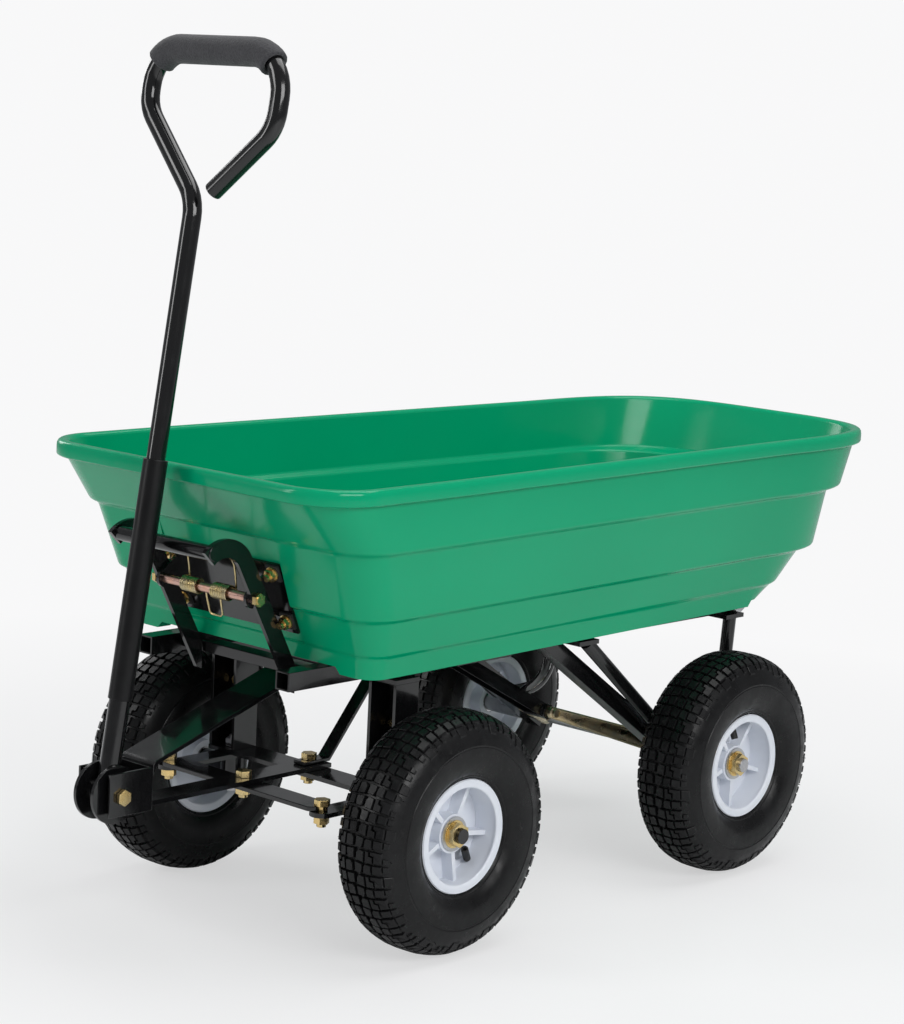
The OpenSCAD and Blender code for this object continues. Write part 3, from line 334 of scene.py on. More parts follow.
def foam():
    f = Finish("grip_foam", (0.020, 0.020, 0.023), 0.82, Sheen_Weight=0.15)
    f.tint(f.span(f.cells(520), 0.1, 0.6, 0, 0.7), (0.052, 0.052, 0.058))
    f.roughness(f.noise(70, 3), 0.08)
    f.bump(f.noise(130, 3), 0.3, 0.0012)
    return f.bump(f.cells(520), 0.55, 0.0008).mat


def pad_rubber():
    f = Finish("pad_rubber", (0.012, 0.012, 0.012), 0.7)
    f.tint(f.span(f.noise(160, 4), 0.4, 0.7, 0, 0.6), (0.03, 0.03, 0.03))
    return f.bump(f.noise(300, 3), 0.2, 0.0005).mat


_made = {}


def finish_of(make):
    """The material that this function makes, made once."""
    if make.__name__ not in _made:
        _made[make.__name__] = make()
    return _made[make.__name__]


# ---- shaping ----

MM = 0.001
MERGE = 0.01 * MM
FLAT = math.radians(0.6)


def pick(obj):
    bpy.ops.object.select_all(action="DESELECT")
    obj.select_set(True)
    bpy.context.view_layer.objects.active = obj


def edit(obj):
    """Opens the object in edit mode with everything selected; done() closes it."""
    pick(obj)
    bpy.ops.object.mode_set(mode="EDIT")
    bpy.ops.mesh.select_all(action="SELECT")


def done():
    bpy.ops.object.mode_set(mode="OBJECT")


def add(name, data):
    """A new object with this data, in the scene."""
    obj = bpy.data.objects.new(name, data)
    bpy.context.scene.collection.objects.link(obj)
    return obj


def mesh_of(name, points, faces):
    """A new object from points and faces."""
    mesh = bpy.data.meshes.new(name)
    mesh.from_pydata(points, [], faces)
    return add(name, mesh)


def face_out(obj):
    """Turns the object's faces outwards."""
    edit(obj)
    bpy.ops.mesh.normals_make_consistent(inside=False)
    done()


def modify(obj, kind, **settings):
    pick(obj)
    m = obj.modifiers.new(kind.title(), kind)
    for key, value in settings.items():
        setattr(m, key, value)
    bpy.ops.object.modifier_apply(modifier=m.name)


def settle(obj, angle=35):
    """Puts the object at the origin with its place in its mesh, and smooths its gentle edges."""
    pick(obj)
    bpy.ops.object.transform_apply(location=True, rotation=True, scale=True)
    bpy.ops.object.shade_smooth_by_angle(angle=math.radians(angle))
    modify(obj, "WEIGHTED_NORMAL", keep_sharp=True, weight=60)


def round_edges(obj, width, segments=2, angle=38):
    modify(obj, "BEVEL", width=width, segments=segments, limit_method="ANGLE",
           angle_limit=math.radians(angle), miter_outer="MITER_ARC")


def paint(obj, make):
    obj.data.materials.clear()
    obj.data.materials.append(finish_of(make))


def stands_for(obj, make, node):
    """Gives a piece its finish, and puts it in the place of a CAD node, on that node's body."""
    paint(obj, make)
    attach(obj, NODES[node]["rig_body"])
    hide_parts(node)


def copy_of(node, name):
    """A merged copy of a CAD node, free of its frame marks."""
    obj = add(name, NODES[node].data.copy())
    edit(obj)
    bpy.ops.mesh.remove_doubles(threshold=MERGE)
    bpy.ops.mesh.dissolve_limited(angle_limit=FLAT)
    done()
    return obj


def dress(node, make, edge, segments=2):
    """The node's own shape with rounded edges and its finish."""
    obj = copy_of(node, node + "_finished")
    if edge:
        round_edges(obj, edge, segments)
    settle(obj)
    stands_for(obj, make, node)
    return obj


def slice_of(node, name, low, high):
    """The part of a CAD node between two places along X."""
    obj = copy_of(node, name)
    for place, above in ((low, True), (high, False)):
        edit(obj)
        bpy.ops.mesh.bisect(
            plane_co=(place, 0, 0), plane_no=(1, 0, 0), use_fill=True, clear_inner=above,
            clear_outer=not above,
        )
        done()
    return obj


def rings_mesh(name, rings):
    """A closed skin over rings of points, each of the same count."""
    count = len(rings[0])
    points = [p for ring in rings for p in ring]
    faces = []
    for i in range(len(rings) - 1):
        for k in range(count):
            a, b = i * count + k, i * count + (k + 1) % count
            faces.append((a, b, b + count, a + count))
    faces.append(tuple(reversed(range(count))))
    faces.append(tuple(range(len(points) - count, len(points))))
    obj = mesh_of(name, points, faces)
    face_out(obj)
    return obj


# ---- the tub, in millimetres ----

RIM_HALF, RIM_FRONT, RIM_REAR = 230.0, 455.0, 560.0
TAPER, TAPER_FROM, NOSE_FROM, NOSE_POWER = 0.0374, -297.0, 305.0, 3.7
UNDERSIDE, RIM_Z, LIP, LIP_OUT = 306.8, 505.8, 17.0, 7.0
PANEL_HALF, PANEL_LOW, PANEL_TOP, PANEL_BACK = 90.0, 324.8, 433.8, -227.0
PANEL_FRONT_LOW, PANEL_FRONT_TOP = 347.0, 394.0
FOOT_FROM, FOOT_BACK = 137.0, NOSE_FROM + 20
WALL_SLOPE = 5.2
LEDGE_ROUND, LEDGE_SHARE = 2.6, 0.42

# Places of a ring's points: across the front, along the side, and round the nose in degrees.
ACROSS = (0, 15, 30, 45, 60, 75, PANEL_HALF - 0.6, PANEL_HALF + 1.2, 106, 118, 128, 134, 141)
CORNER = range(0, 91, 6)
ALONG = (-260, -200, -140, -80, -20, 40, 100, 160, 210, 260)
NOSE = (*range(0, 81, 4), 83, 86, 88)

# The rolled rim: how far below its top and in from the side, front and rear, and the corner.
ROLLED_RIM = (
    (LIP, 2.2, 2.2, 2.2, 66), (LIP - 0.9, 0.7, 0.7, 0.7, 67), (LIP - 2.4, 0, 0, 0, 68),
    (7, 0, 0, 0, 68), (4, 0.4, 0.4, 0.4, 67.6), (1.8, 1.5, 1.5, 1.5, 66.5),
    (0.5, 3.2, 3.2, 3.2, 65), (0, 5.4, 6.0, 5.8, 62), (0.2, 8.0, 10.0, 9.0, 59),
    (1.4, 10.4, 14.0, 12.0, 55), (4.4, 12, 17, 14, 52),
)
# The rounding into the tub's floor, above it and in from its walls.
FLOOR_ROUND = ((3, 1, 1, 1, 18), (0.8, 3, 2, 3, 17), (0, 6, 5, 6, 16))


def side_width(half, y):
    return half - TAPER * (y - TAPER_FROM)


def panel_line(x, y, z, wall):
    """Between the ledges the front's middle is one flat sloping panel."""
    level = z - wall
    if abs(x) < PANEL_HALF and y < PANEL_BACK and PANEL_LOW - 1 <= level <= PANEL_TOP + 1:
        share = (level - PANEL_LOW) / (PANEL_TOP - PANEL_LOW)
        front = PANEL_FRONT_LOW + (PANEL_FRONT_TOP - PANEL_FRONT_LOW) * share
        return (WALL_SLOPE if wall else 0) - front
    return y


def tub_ring(z, half, front, rear, corner, foot, wall=0.0):
    """One level of the tub. A wall thickness marks the inner skin."""
    line = [(x, -front) for x in ACROSS]
    for angle in CORNER:
        c, s = math.cos(math.radians(angle)), math.sin(math.radians(angle))
        line.append((half - corner + corner * s, -front + corner - corner * c))
    line += [(side_width(half, y), y) for y in ALONG]
    start = side_width(half, NOSE_FROM)
    for angle in NOSE:
        c, s = math.cos(math.radians(angle)), math.sin(math.radians(angle))
        reach = (rear - NOSE_FROM) * s ** (2 / NOSE_POWER)
        line.append((start * c ** (2 / NOSE_POWER), NOSE_FROM + reach))
    whole = line + [(0.0, rear)] + [(-x, y) for x, y in reversed(line[1:])]
    ring = []
    for x, y in whole:
        drop = foot if abs(x) > FOOT_FROM and y < FOOT_BACK else 0.0
        ring.append((x * MM, panel_line(x, y, z, wall) * MM, (z - drop) * MM))
    return ring


def between(a, b, share):
    return tuple(p + (q - p) * share for p, q in zip(a, b))


def tub_levels():
    """Outer rings as (height, half width, front, rear, corner, foot)."""
    u, w, f = UNDERSIDE, RIM_HALF, RIM_FRONT
    return [
        (u, w - 72, f - 130, 345, 12, 0), (u, w - 70, f - 128, 347, 14, 7),
        (u, w - 46, f - 110, 369, 22, 7), (u + 15, w - 44, f - 109, 408, 24, 0),
        (u + 18, w - 40, f - 106, 416, 26, 0), (u + 54, w - 33, f - 92, 462, 34, 0),
        (u + 58, w - 26, f - 84, 490, 40, 0), (u + 127, w - 16, f - 61, 502, 40, 0),
        (u + 131, w - 9, f - 54, 526, 42, 0),
        (RIM_Z - LIP, w - LIP_OUT, f - 12, RIM_REAR - 9, 58, 0),
    ]


def eased(levels):
    """Each level in the range as three, before, near and after it, so that its ledge is rounded."""

    def share_of(a, b):
        return min(LEDGE_ROUND / max(abs(b[0] - a[0]) + abs(b[1] - a[1]), 0.01), LEDGE_SHARE)

    out = [levels[0]]
    for before, here, after in zip(levels, levels[1:], levels[2:]):
        first = between(here, before, share_of(here, before))
        last = between(here, after, share_of(here, after))
        out += [first, between(between(first, last, 0.5), here, 0.5), last]
    return out + [levels[-1]]


def build_tub():
    outside = tub_levels()
    wall = sizes().tub_wall / MM
    rim = [
        (RIM_Z - down, RIM_HALF - side, RIM_FRONT - front, RIM_REAR - rear, corner, 0)
        for down, side, front, rear, corner in ROLLED_RIM
    ]
    inside = [
        (z + wall, half - wall, front - WALL_SLOPE, rear - WALL_SLOPE, corner - wall, 0)
        for z, half, front, rear, corner, _ in reversed(outside[3:9])
    ]
    half, front, rear = outside[2][1] - wall, outside[2][2] - WALL_SLOPE, outside[2][3] - WALL_SLOPE
    floor = [
        (UNDERSIDE + wall + up, half - a, front - b, rear - c, corner, 0)
        for up, a, b, c, corner in FLOOR_ROUND
    ]
    outer = outside[:3] + eased(outside[2:])[1:]
    inner = eased([rim[-1]] + inside + floor)[1:]
    rings = [tub_ring(*level) for level in outer + rim]
    rings += [tub_ring(*level, wall=wall) for level in inner]
    obj = rings_mesh("tub_moulding", rings)
    edit(obj)
    bpy.ops.mesh.quads_convert_to_tris(quad_method="BEAUTY", ngon_method="BEAUTY")
    done()
    settle(obj, 50)
    stands_for(obj, tub_plastic, "tub")


# ---- wheels, in millimetres ----

TYRE_STEPS, FLANGE_STEPS = 120, 96
TREAD_SUNK, TREAD_CHAMFER, CROWN_DROP = 1.0, 0.10, 0.00003
SHOULDER_IN, SHOULDER_FADE, SHOULDER_LEAST = 12.0, 22.0, 0.45
NUBS = 22
TYRE_TURN = 0.37

# A rim's outer edge as (radius, offset).
FLANGE = (
    (51.8, 27.4), (51.4, 29.0), (51.9, 30.2), (53.2, 30.95), (57.8, 30.95), (59.6, 30.4),
    (60.4, 29.2), (60.2, 27.6),
)


def tyre_profile(r, h):
    """The carcass as points (radius, offset), from bead to bead over the crown."""
    outer = [
        (57.2, 26.4), (59.6, 28.4), (62.2, 29.6), (64.0, 31.9), (65.6, 32.2), (67.2, 33.9),
        (71.0, 36.8), (76.0, 39.2), (83.0, h - 0.4), (90.0, h), (95.6, h - 0.2), (96.4, h - 0.9),
        (97.4, h - 0.9), (98.2, h - 0.5), (104.0, h - 1.9), (109.0, h - 3.6), (114.0, h - 6.2),
        (118.5, h - 9.6), (122.0, h - 14.2), (124.0, h - 20.0), (r - 4.1, h - 28.0), (r - 3.7, 5.0),
    ]
    return outer + [(a, -b) for a, b in reversed(outer)]


def round_x(radius, x, angle):
    """A point at this radius round the X axis, from millimetres."""
    return (x * MM, radius * MM * math.sin(angle), radius * MM * math.cos(angle))


def spin_profile(name, profile, steps):
    """A closed ring round the X axis from a profile of (radius, offset)."""
    turns = [2 * math.pi * i / steps for i in range(steps)]
    points = [round_x(r, x, a) for a in turns for r, x in profile]
    count = len(profile)
    faces = []
    for i in range(steps):
        j = (i + 1) % steps
        for k in range(count):
            m = (k + 1) % count
            faces.append((i * count + k, i * count + m, j * count + m, j * count + k))
    return mesh_of(name, points, faces)


def add_skin(mesh, rings):
    """Adds faces between rings of points and over the last ring, and gives the first one back."""
    rings = [[mesh.verts.new(p) for p in ring] for ring in rings]
    count = len(rings[0])
    for low, up in zip(rings, rings[1:]):
        for k in range(count):
            m = (k + 1) % count
            mesh.faces.new((low[k], low[m], up[m], up[k]))
    mesh.faces.new(rings[-1])
    return rings[0]


def block_rings(outline, low, high):
    """A tread block from its outline of (offset, angle) pairs, between two radius functions."""
    cx = sum(x for x, _ in outline) / len(outline)
    ca = sum(a for _, a in outline) / len(outline)
    rings = []
    for shrink, share in ((0.0, 0.0), (0.0, 0.8), (TREAD_CHAMFER, 1.0)):
        ring = []
        for x, a in outline:
            x, a = x + (cx - x) * shrink, a + (ca - a) * shrink
            ring.append(round_x(low(x) + (high(x) - low(x)) * share, x, a))
        rings.append(ring)
    return rings


def tread_rows(h, long_pitch):
    """Blocks on one side as outlines of (offset, share of a pitch), from the middle outwards."""
    out, near, far = (h - 4.2, 0.34, 0.38) if long_pitch else (h - 6.4, 0.12, 0.16)
    return (
        ((0.8, -0.46), (8.5, -0.50), (10.5, -0.30), (10.5, -0.10), (0.8, -0.06)),
        ((2.6, 0.01), (12.2, -0.03), (12.2, 0.40), (6.0, 0.44), (2.6, 0.30)),
        ((12.4, -0.46), (20.6, -0.50), (20.6, -0.12), (14.0, -0.10), (12.4, -0.20)),
        ((14.2, -0.02), (22.4, -0.05), (22.4, 0.20), (18.0, 0.24), (18.0, 0.42), (14.2, 0.44)),
        ((22.4, -0.44), (30.6, -0.46), (30.6, -0.14), (22.4, -0.12)),
        ((24.2, -0.04), (30.8, -0.05), (30.8, 0.40), (20.0, 0.44), (20.0, 0.31), (24.2, 0.27)),
        ((31.8, -0.44), (h - 6.2, -0.42), (h - 6.2, -0.20), (31.8, -0.16)),
        ((32.0, -0.07), (out, -0.05), (out, near), (32.0, far)),
    )


def build_tread(mesh, r, h, depth, pitches):
    """Adds the tread to a bmesh: interlocking blocks, and shoulder blocks of two lengths."""
    step = 2 * math.pi / pitches
    profile = sorted((x, a) for a, x in tyre_profile(r, h) if x >= 0 and a > 90)

    def foot(x):
        x = abs(x)
        for (x0, r0), (x1, r1) in zip(profile, profile[1:]):
            if x0 <= x <= x1:
                return r0 + (r1 - r0) * (x - x0) / max(x1 - x0, 1e-6) - TREAD_SUNK
        return (profile[0] if x < profile[0][0] else profile[-1])[1] - TREAD_SUNK

    def crown(x):
        x = abs(x)
        past = max(x - (h - SHOULDER_IN), 0.0)
        height = depth * max(SHOULDER_LEAST, 1 - past / SHOULDER_FADE)
        return min(foot(x) + TREAD_SUNK + height, r - CROWN_DROP * x * x)

    for i in range(pitches):
        for side in (1, -1):
            start = i * step + (0 if side > 0 else step / 2)
            for row in tread_rows(h, i % 2):
                outline = [(side * x, start + share * step) for x, share in row][::side]
                base = add_skin(mesh, block_rings(outline, foot, crown))
                mesh.faces.new(base[::-1])


def build_nubs(mesh, h):
    """Adds thin moulding nubs to the shoulders."""
    for i in range(NUBS):
        for side in (1, -1):
            a = 2 * math.pi * (i + 0.3 * (side + 1)) / NUBS
            radius, x = (112.0, h - 5.4) if i % 2 else (119.5, h - 10.8)
            root = Vector(round_x(radius, side * x, a))
            out = Vector((side * 0.75, 0.66 * math.sin(a), 0.66 * math.cos(a))).normalized()
            across = out.cross(Vector((0, math.cos(a), -math.sin(a)))).normalized()
            along = out.cross(across)
            rings = []
            for rise, wide in ((-0.6, 0.6), (2.2, 0.42), (3.0, 0.15)):
                middle = root + out * rise * MM
                ways = (across, along, -across, -along)
                rings.append([middle + way * wide * MM for way in ways])
            add_skin(mesh, rings)


def wheel_centre(name):
    low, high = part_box("tyre_" + name)
    return (low + high) / 2


def build_tyres():
    s = sizes()
    r, h, depth = s.tyre_radius / MM, s.tyre_half / MM, s.tread_depth / MM
    master = spin_profile("tyre_master", tyre_profile(r, h), TYRE_STEPS)
    work = bmesh.new()
    work.from_mesh(master.data)
    build_tread(work, r, h, depth, s.tread_pitches)
    build_nubs(work, h)
    work.to_mesh(master.data)
    work.free()
    face_out(master)
    for k, name in enumerate(WHEELS):
        obj = add("tyre_tread_" + name, master.data.copy())
        obj.rotation_euler = (TYRE_TURN * k, 0, 0 if name.endswith("right") else math.pi)
        obj.location = wheel_centre(name)
        settle(obj, 32)
        stands_for(obj, tyre_rubber, "tyre_" + name)
    bpy.data.objects.remove(master)


def build_rims():
    for name in WHEELS:
        rim = dress("rim_" + name, rim_plastic, sizes().rim_edge, 3)
        for side in (1, -1):
            profile = [(r, side * x) for r, x in FLANGE]
            flange = spin_profile("rim_flange_" + name, profile, FLANGE_STEPS)
            face_out(flange)
            flange.location = wheel_centre(name)
            settle(flange, 50)
            paint(flange, rim_plastic)
            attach(flange, rim["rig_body"])
        dress("bearings_" + name, turned_steel, sizes().fine_edge)
        dress("valve_" + name, pad_rubber, sizes().bolt_edge)


# ---- the handle ----


def build_handle():
    dress("handle_tube", frame_coat, 0)
    dress("handle_sleeve", sleeve_coat, sizes().thin_edge)
    dress("handle_fork", frame_coat, sizes().bar_edge)
    grip = copy_of("hand_grip", "hand_grip_foam")
    round_edges(grip, sizes().grip_edge, 3, 60)
    settle(grip, 40)
    stands_for(grip, foam, "hand_grip")


# ---- steel, in metres ----

COATED = (
    "rail_left", "rail_right", "front_bar", "centre_plate", "upper_cross_bar", "lower_cross_bar",
    "portal_left", "portal_right", "centre_strut", "centre_channel", "rear_strut_left",
    "rear_strut_right", "drawbar", "drawbar_strap", "clevis_bracket", "tie_bar", "knuckle_left",
    "knuckle_right", "tub_carriers",
)
BENT = ("rear_tube_left", "rear_tube_right", "frame_bows")
PLATED = ("frame_bolts", "drawbar_bolts", "tie_bolts")
TURNED = ("rear_axle", "kingpins", "hinge_rod")
NUTS = (("axle_nuts_left", (-1,)), ("axle_nuts_right", (1,)), ("rear_axle_nuts", (-1, 1)))
WHEEL_NUT, PAST_END = 0.0108, 0.001
WASHER, WASHER_BORE, WASHER_RADIUS, WASHER_STEPS = 0.0022, 0.0081, 0.0186, 48


def build_frame():
    for node in COATED:
        dress(node, frame_coat, sizes().bar_edge)
    for node in BENT:
        dress(node, frame_coat, 0)
    dress("axle_braces", brace_plate, sizes().thin_edge)
    for node in TURNED:
        dress(node, turned_steel, sizes().bolt_edge)


def build_wheel_nut(node, side):
    """One wheel nut in yellow zinc, over a wide plain steel washer."""
    low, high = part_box(node)
    outer = max(abs(low.x), abs(high.x))
    inner = outer - WHEEL_NUT
    ends = sorted((side * (inner + WASHER), side * (outer + PAST_END)))
    nut = slice_of(node, node + "_nut", *ends)
    round_edges(nut, sizes().bolt_edge)
    settle(nut)
    stands_for(nut, zinc_plate, node)
    start, end = side * inner, side * (inner + WASHER)
    corners = (WASHER_BORE, start), (WASHER_RADIUS, start), (WASHER_RADIUS, end), (WASHER_BORE, end)
    profile = [(r / MM, x / MM) for r, x in corners]
    washer = spin_profile(node + "_washer", profile, WASHER_STEPS)
    face_out(washer)
    washer.location = (0, (low.y + high.y) / 2, (low.z + high.z) / 2)
    round_edges(washer, sizes().fine_edge)
    settle(washer)
    stands_for(washer, turned_steel, node)


def build_fasteners():
    for node in PLATED:
        dress(node, zinc_plate, sizes().bolt_edge)
    for node, sides in NUTS:
        for side in sides:
            build_wheel_nut(node, side)


# ---- the latch, in millimetres ----

ROD_Y, ROD_Z, WIRE_R, LIFT_R = -402.0, 372.5, 1.1, 8.0
COIL_R, COIL_FROM, COIL_PITCH, COIL_TURNS, COIL_STEPS = 7.6, 11.0, 2.7, 9, 16

# The wire before a coil, from the middle loop, and after it, as (along X, y and z from the rod).
LOOP = (
    (0, 14, -30), (7, 14, -30), (COIL_FROM - 1.2, 13.5, -27.5), (COIL_FROM - 0.5, 10, -15),
    (COIL_FROM, COIL_R, -4),
)
LEG_OUT = 0.4
LEG = ((0.2, COIL_R, 3), (LEG_OUT, COIL_R - 2, 18), (LEG_OUT, 3, 30), (LEG_OUT, -1, 36),
       (LEG_OUT, -8, 41))


def spring_path():
    """The wire from its middle loop out through one coil to the leg on the lift bar, mirrored."""
    low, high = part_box("lift_bar")
    lift_y, lift_z = (low.y + high.y) / 2 / MM, (low.z + high.z) / 2 / MM
    half = [(x, ROD_Y + y, ROD_Z + z) for x, y, z in LOOP]
    for i in range(COIL_STEPS * COIL_TURNS + 1):
        a = -2 * math.pi * i / COIL_STEPS
        x = COIL_FROM + i * COIL_PITCH / COIL_STEPS
        half.append((x, ROD_Y + COIL_R * math.cos(a), ROD_Z + COIL_R * math.sin(a)))
    end = COIL_FROM + COIL_TURNS * COIL_PITCH
    half += [(end + x, ROD_Y + y, ROD_Z + z) for x, y, z in LEG]
    half += [
        (end + LEG_OUT, lift_y + LIFT_R + 12, lift_z - 3),
        (end + LEG_OUT, lift_y + LIFT_R + WIRE_R + 0.3, lift_z),
    ]
    return [(-x, y, z) for x, y, z in reversed(half[1:])] + half


def build_spring():
    path = spring_path()
    curve = bpy.data.curves.new("latch_spring_wire", "CURVE")
    curve.dimensions = "3D"
    curve.bevel_depth = WIRE_R * MM
    curve.bevel_resolution = 3
    curve.use_fill_caps = True
    spline = curve.splines.new("POLY")
    spline.points.add(len(path) - 1)
    for point, place in zip(spline.points, path):
        point.co = (*(part * MM for part in place), 1)
    pick(add("latch_spring_wire", curve))
    bpy.ops.object.convert(target="MESH")
    obj = bpy.context.active_object
    settle(obj, 60)
    stands_for(obj, spring_plate, "latch_spring")


def build_latch():
    for node in ("latch_plate", "latch_hooks", "lift_bar"):
        dress(node, frame_coat, sizes().bar_edge)
    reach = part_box("latch_hooks")[1].x
    for name, low, high, make, slot in (
        ("rod", -reach, reach, copper_plate, "rod_copper"),
        ("nut_near", reach, 1, zinc_plate, "zinc_yellow"),
        ("nut_far", -1, -reach, zinc_plate, "zinc_yellow"),
    ):
        obj = slice_of("latch_rod", "latch_" + name, low, high)
        round_edges(obj, sizes().bolt_edge)
        settle(obj)
        stands_for(obj, make, "latch_rod")
    dress("latch_pads", pad_rubber, sizes().bar_edge)
    dress("latch_bolts", zinc_plate, sizes().bolt_edge)
    build_spring()


# ---- stage, light and camera ----

BACKDROP = (0.94, 0.94, 0.945, 1)
WORLD_LIGHT, WORLD_STRENGTH = (0.95, 0.97, 1.0, 1), 0.27
FLOOR_SIZE, FLOOR_DROP = 60, 0.0002
FADE_FROM, FADE_TO, FADE_LEAST, FADE_MOST = 0.5, 1.5, 0.6, 1.0
CAMERA_PLACE = (2.0155, -2.2331, 0.8978)
CAMERA_YAW, CAMERA_PITCH, CAMERA_ROLL = -42.51, -9.08, 2.82
LENS, SENSOR = 93.92, 36

# Name, place, target, width, height and watts.
LAMPS = (
    ("side", (3.1, -0.9, 2.0), (0, 0, 0.35), 2.2, 1.4, 64),
    ("front", (-1.7, -3.0, 1.7), (0, -0.1, 0.4), 0.9, 2.0, 32),
    ("top", (0.3, 0.7, 3.1), (0, 0, 0.3), 2.2, 2.2, 48),
    ("far", (-3.1, 0.1, 1.7), (0, 0, 0.4), 1.0, 1.6, 22),
)


def mixed(tree, factor, first, second, out):
    """Joins two shaders by a factor into an output's surface."""
    mix = tree.nodes.new("ShaderNodeMixShader")
    tree.links.new(factor, mix.inputs["Fac"])
    tree.links.new(first.outputs[0], mix.inputs[1])
    tree.links.new(second.outputs[0], mix.inputs[2])
    tree.links.new(mix.outputs[0], out.inputs["Surface"])


def build_world():
    """Soft light from all round, and a pale backdrop for the camera alone."""
    world = bpy.data.worlds.new("studio")
    world.use_nodes = True
    tree = world.node_tree
    tree.nodes.clear()
    out = tree.nodes.new("ShaderNodeOutputWorld")
    lit, seen = (tree.nodes.new("ShaderNodeBackground") for _ in range(2))
    lit.inputs["Color"].default_value = WORLD_LIGHT
    lit.inputs["Strength"].default_value = WORLD_STRENGTH
    seen.inputs["Color"].default_value = BACKDROP
    path = tree.nodes.new("ShaderNodeLightPath")
    mixed(tree, path.outputs["Is Camera Ray"], lit, seen, out)
    bpy.context.scene.world = world


def build_floor():
    """A plain pale floor that keeps the shadows near the cart and fades into the backdrop."""
    bpy.ops.mesh.primitive_plane_add(size=1, location=(0, 0, -FLOOR_DROP))
    floor = bpy.context.active_object
    floor.name = "studio_floor"
    floor.scale = (FLOOR_SIZE, FLOOR_SIZE, 1)
    bpy.ops.object.transform_apply(location=True, rotation=True, scale=True)
    f = Finish("studio_floor", tuple(colours().floor), 0.4, Specular_IOR_Level=0.3)
    distance = f.tree.nodes.new("ShaderNodeVectorMath")
    distance.operation = "LENGTH"
    f.tree.links.new(f.where, distance.inputs[0])
    fade = f.span(distance.outputs["Value"], FADE_FROM, FADE_TO, FADE_LEAST, FADE_MOST)
    path = f.tree.nodes.new("ShaderNodeLightPath")
    glow = f.tree.nodes.new("ShaderNodeEmission")
    glow.inputs["Color"].default_value = BACKDROP
    share = f.product(fade, path.outputs["Is Camera Ray"])
    mixed(f.tree, share, f.shader, glow, f.tree.nodes["Material Output"])
    floor.data.materials.append(f.mat)


def lamp(name, place, target, width, height, power):
    data = bpy.data.lights.new(name, "AREA")
    data.shape = "RECTANGLE"
    data.size = width
    data.size_y = height
    data.energy = power
    obj = add(name, data)
    obj.location = place
    obj.rotation_euler = (Vector(target) - Vector(place)).to_track_quat("-Z", "Y").to_euler()


def build_camera():
    """The photograph's viewpoint: place, yaw, pitch and roll, and a long lens."""
    yaw, pitch, roll = (math.radians(a) for a in (CAMERA_YAW, CAMERA_PITCH, CAMERA_ROLL))
    flat = math.cos(pitch)
    ahead = Vector((math.sin(yaw) * flat, math.cos(yaw) * flat, math.sin(pitch)))
    level = Vector((math.cos(yaw), -math.sin(yaw), 0))
    up = level.cross(ahead)
    right = level * math.cos(roll) + up * math.sin(roll)
    above = -level * math.sin(roll) + up * math.cos(roll)
    data = bpy.data.cameras.new("photo_view")
    data.lens = LENS
    data.sensor_width = SENSOR
    camera = add("photo_view", data)
    turn = Matrix((right, above, -ahead)).transposed().to_4x4()
    camera.matrix_world = Matrix.Translation(CAMERA_PLACE) @ turn
    bpy.context.scene.camera = camera


def build_stage():
    bpy.context.scene.view_settings.view_transform = "Standard"
    build_camera()
    build_world()
    build_floor()
    for row in LAMPS:
        lamp(*row)


# ---- operators ----


class CART_OT_stage(bpy.types.Operator):
    """Camera, floor, world and lamps"""

    bl_idname = "cart.stage"
    bl_label = "Stage"

    def execute(self, context):
        build_stage()
        return {"FINISHED"}


class CART_OT_tub(bpy.types.Operator):
    """The moulded tub with its ledges and rolled rim"""

    bl_idname = "cart.tub"
    bl_label = "Tub"

    def execute(self, context):
        build_tub()
        return {"FINISHED"}


class CART_OT_tyres(bpy.types.Operator):
    """Four tyres with block tread and moulding nubs"""

    bl_idname = "cart.tyres"
    bl_label = "Tyres"

    def execute(self, context):
        build_tyres()
        return {"FINISHED"}


class CART_OT_rims(bpy.types.Operator):
    """Rims, bearings and valves"""

    bl_idname = "cart.rims"
    bl_label = "Rims"

    def execute(self, context):
        build_rims()
        return {"FINISHED"}


class CART_OT_handle(bpy.types.Operator):
    """The pull handle with its sleeve and foam grip"""

    bl_idname = "cart.handle"
    bl_label = "Handle"

    def execute(self, context):
        build_handle()
        return {"FINISHED"}


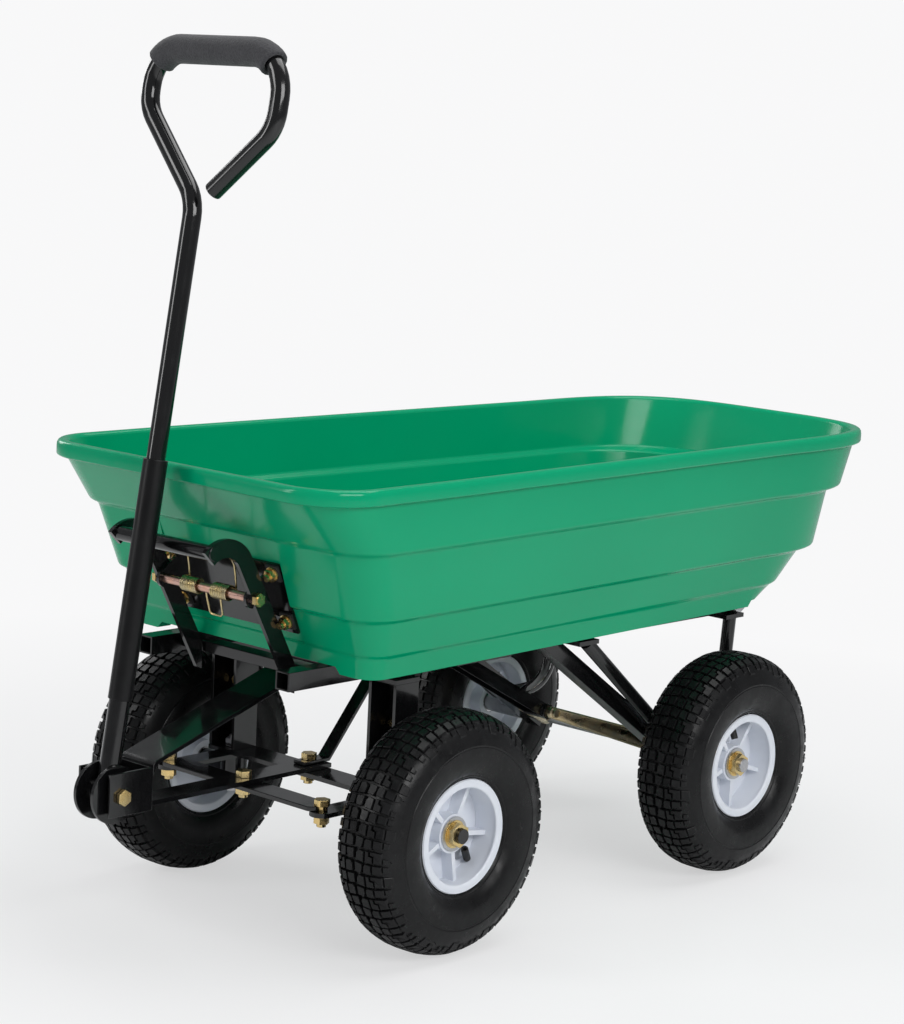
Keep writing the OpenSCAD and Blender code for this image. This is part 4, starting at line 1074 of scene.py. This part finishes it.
class CART_OT_frame(bpy.types.Operator):
    """Rails, bars, portals, struts, tubes, axles and steering steel"""

    bl_idname = "cart.frame"
    bl_label = "Frame"

    def execute(self, context):
        build_frame()
        return {"FINISHED"}


class CART_OT_fasteners(bpy.types.Operator):
    """Bolts, nuts and washers"""

    bl_idname = "cart.fasteners"
    bl_label = "Fasteners"

    def execute(self, context):
        build_fasteners()
        return {"FINISHED"}


class CART_OT_latch(bpy.types.Operator):
    """The tub's latch with its rod, hooks, lift bar and spring"""

    bl_idname = "cart.latch"
    bl_label = "Latch"

    def execute(self, context):
        build_latch()
        return {"FINISHED"}


OPERATORS = (
    CART_OT_stage, CART_OT_tub, CART_OT_tyres, CART_OT_rims, CART_OT_handle, CART_OT_frame,
    CART_OT_fasteners, CART_OT_latch,
)


class CART_PT_panel(bpy.types.Panel):
    """Lists the cart's pieces, sizes and colours"""

    bl_label = "Dump cart"
    bl_idname = "CART_PT_panel"
    bl_space_type = "VIEW_3D"
    bl_region_type = "UI"
    bl_category = "Cart"

    def draw(self, context):
        for group in (context.scene.cart_sizes, context.scene.cart_colours):
            for name in group.bl_rna.properties.keys():
                if name not in ("rna_type", "name"):
                    self.layout.prop(group, name)
        for operator in OPERATORS:
            self.layout.operator(operator.bl_idname)


CLASSES = (CartSizes, CartColours, *OPERATORS, CART_PT_panel)


def register():
    for cls in CLASSES:
        bpy.utils.register_class(cls)
    bpy.types.Scene.cart_sizes = PointerProperty(type=CartSizes)
    bpy.types.Scene.cart_colours = PointerProperty(type=CartColours)


def unregister():
    del bpy.types.Scene.cart_colours
    del bpy.types.Scene.cart_sizes
    for cls in reversed(CLASSES):
        bpy.utils.unregister_class(cls)


def main():
    register()
    bpy.ops.object.select_all(action="DESELECT")
    bpy.ops.cart.stage()
    bpy.ops.cart.tub()
    bpy.ops.cart.tyres()
    bpy.ops.cart.rims()
    bpy.ops.cart.handle()
    bpy.ops.cart.frame()
    bpy.ops.cart.fasteners()
    bpy.ops.cart.latch()
    bpy.ops.object.select_all(action="DESELECT")
    bpy.context.view_layer.update()


if __name__ == "__main__":
    main()
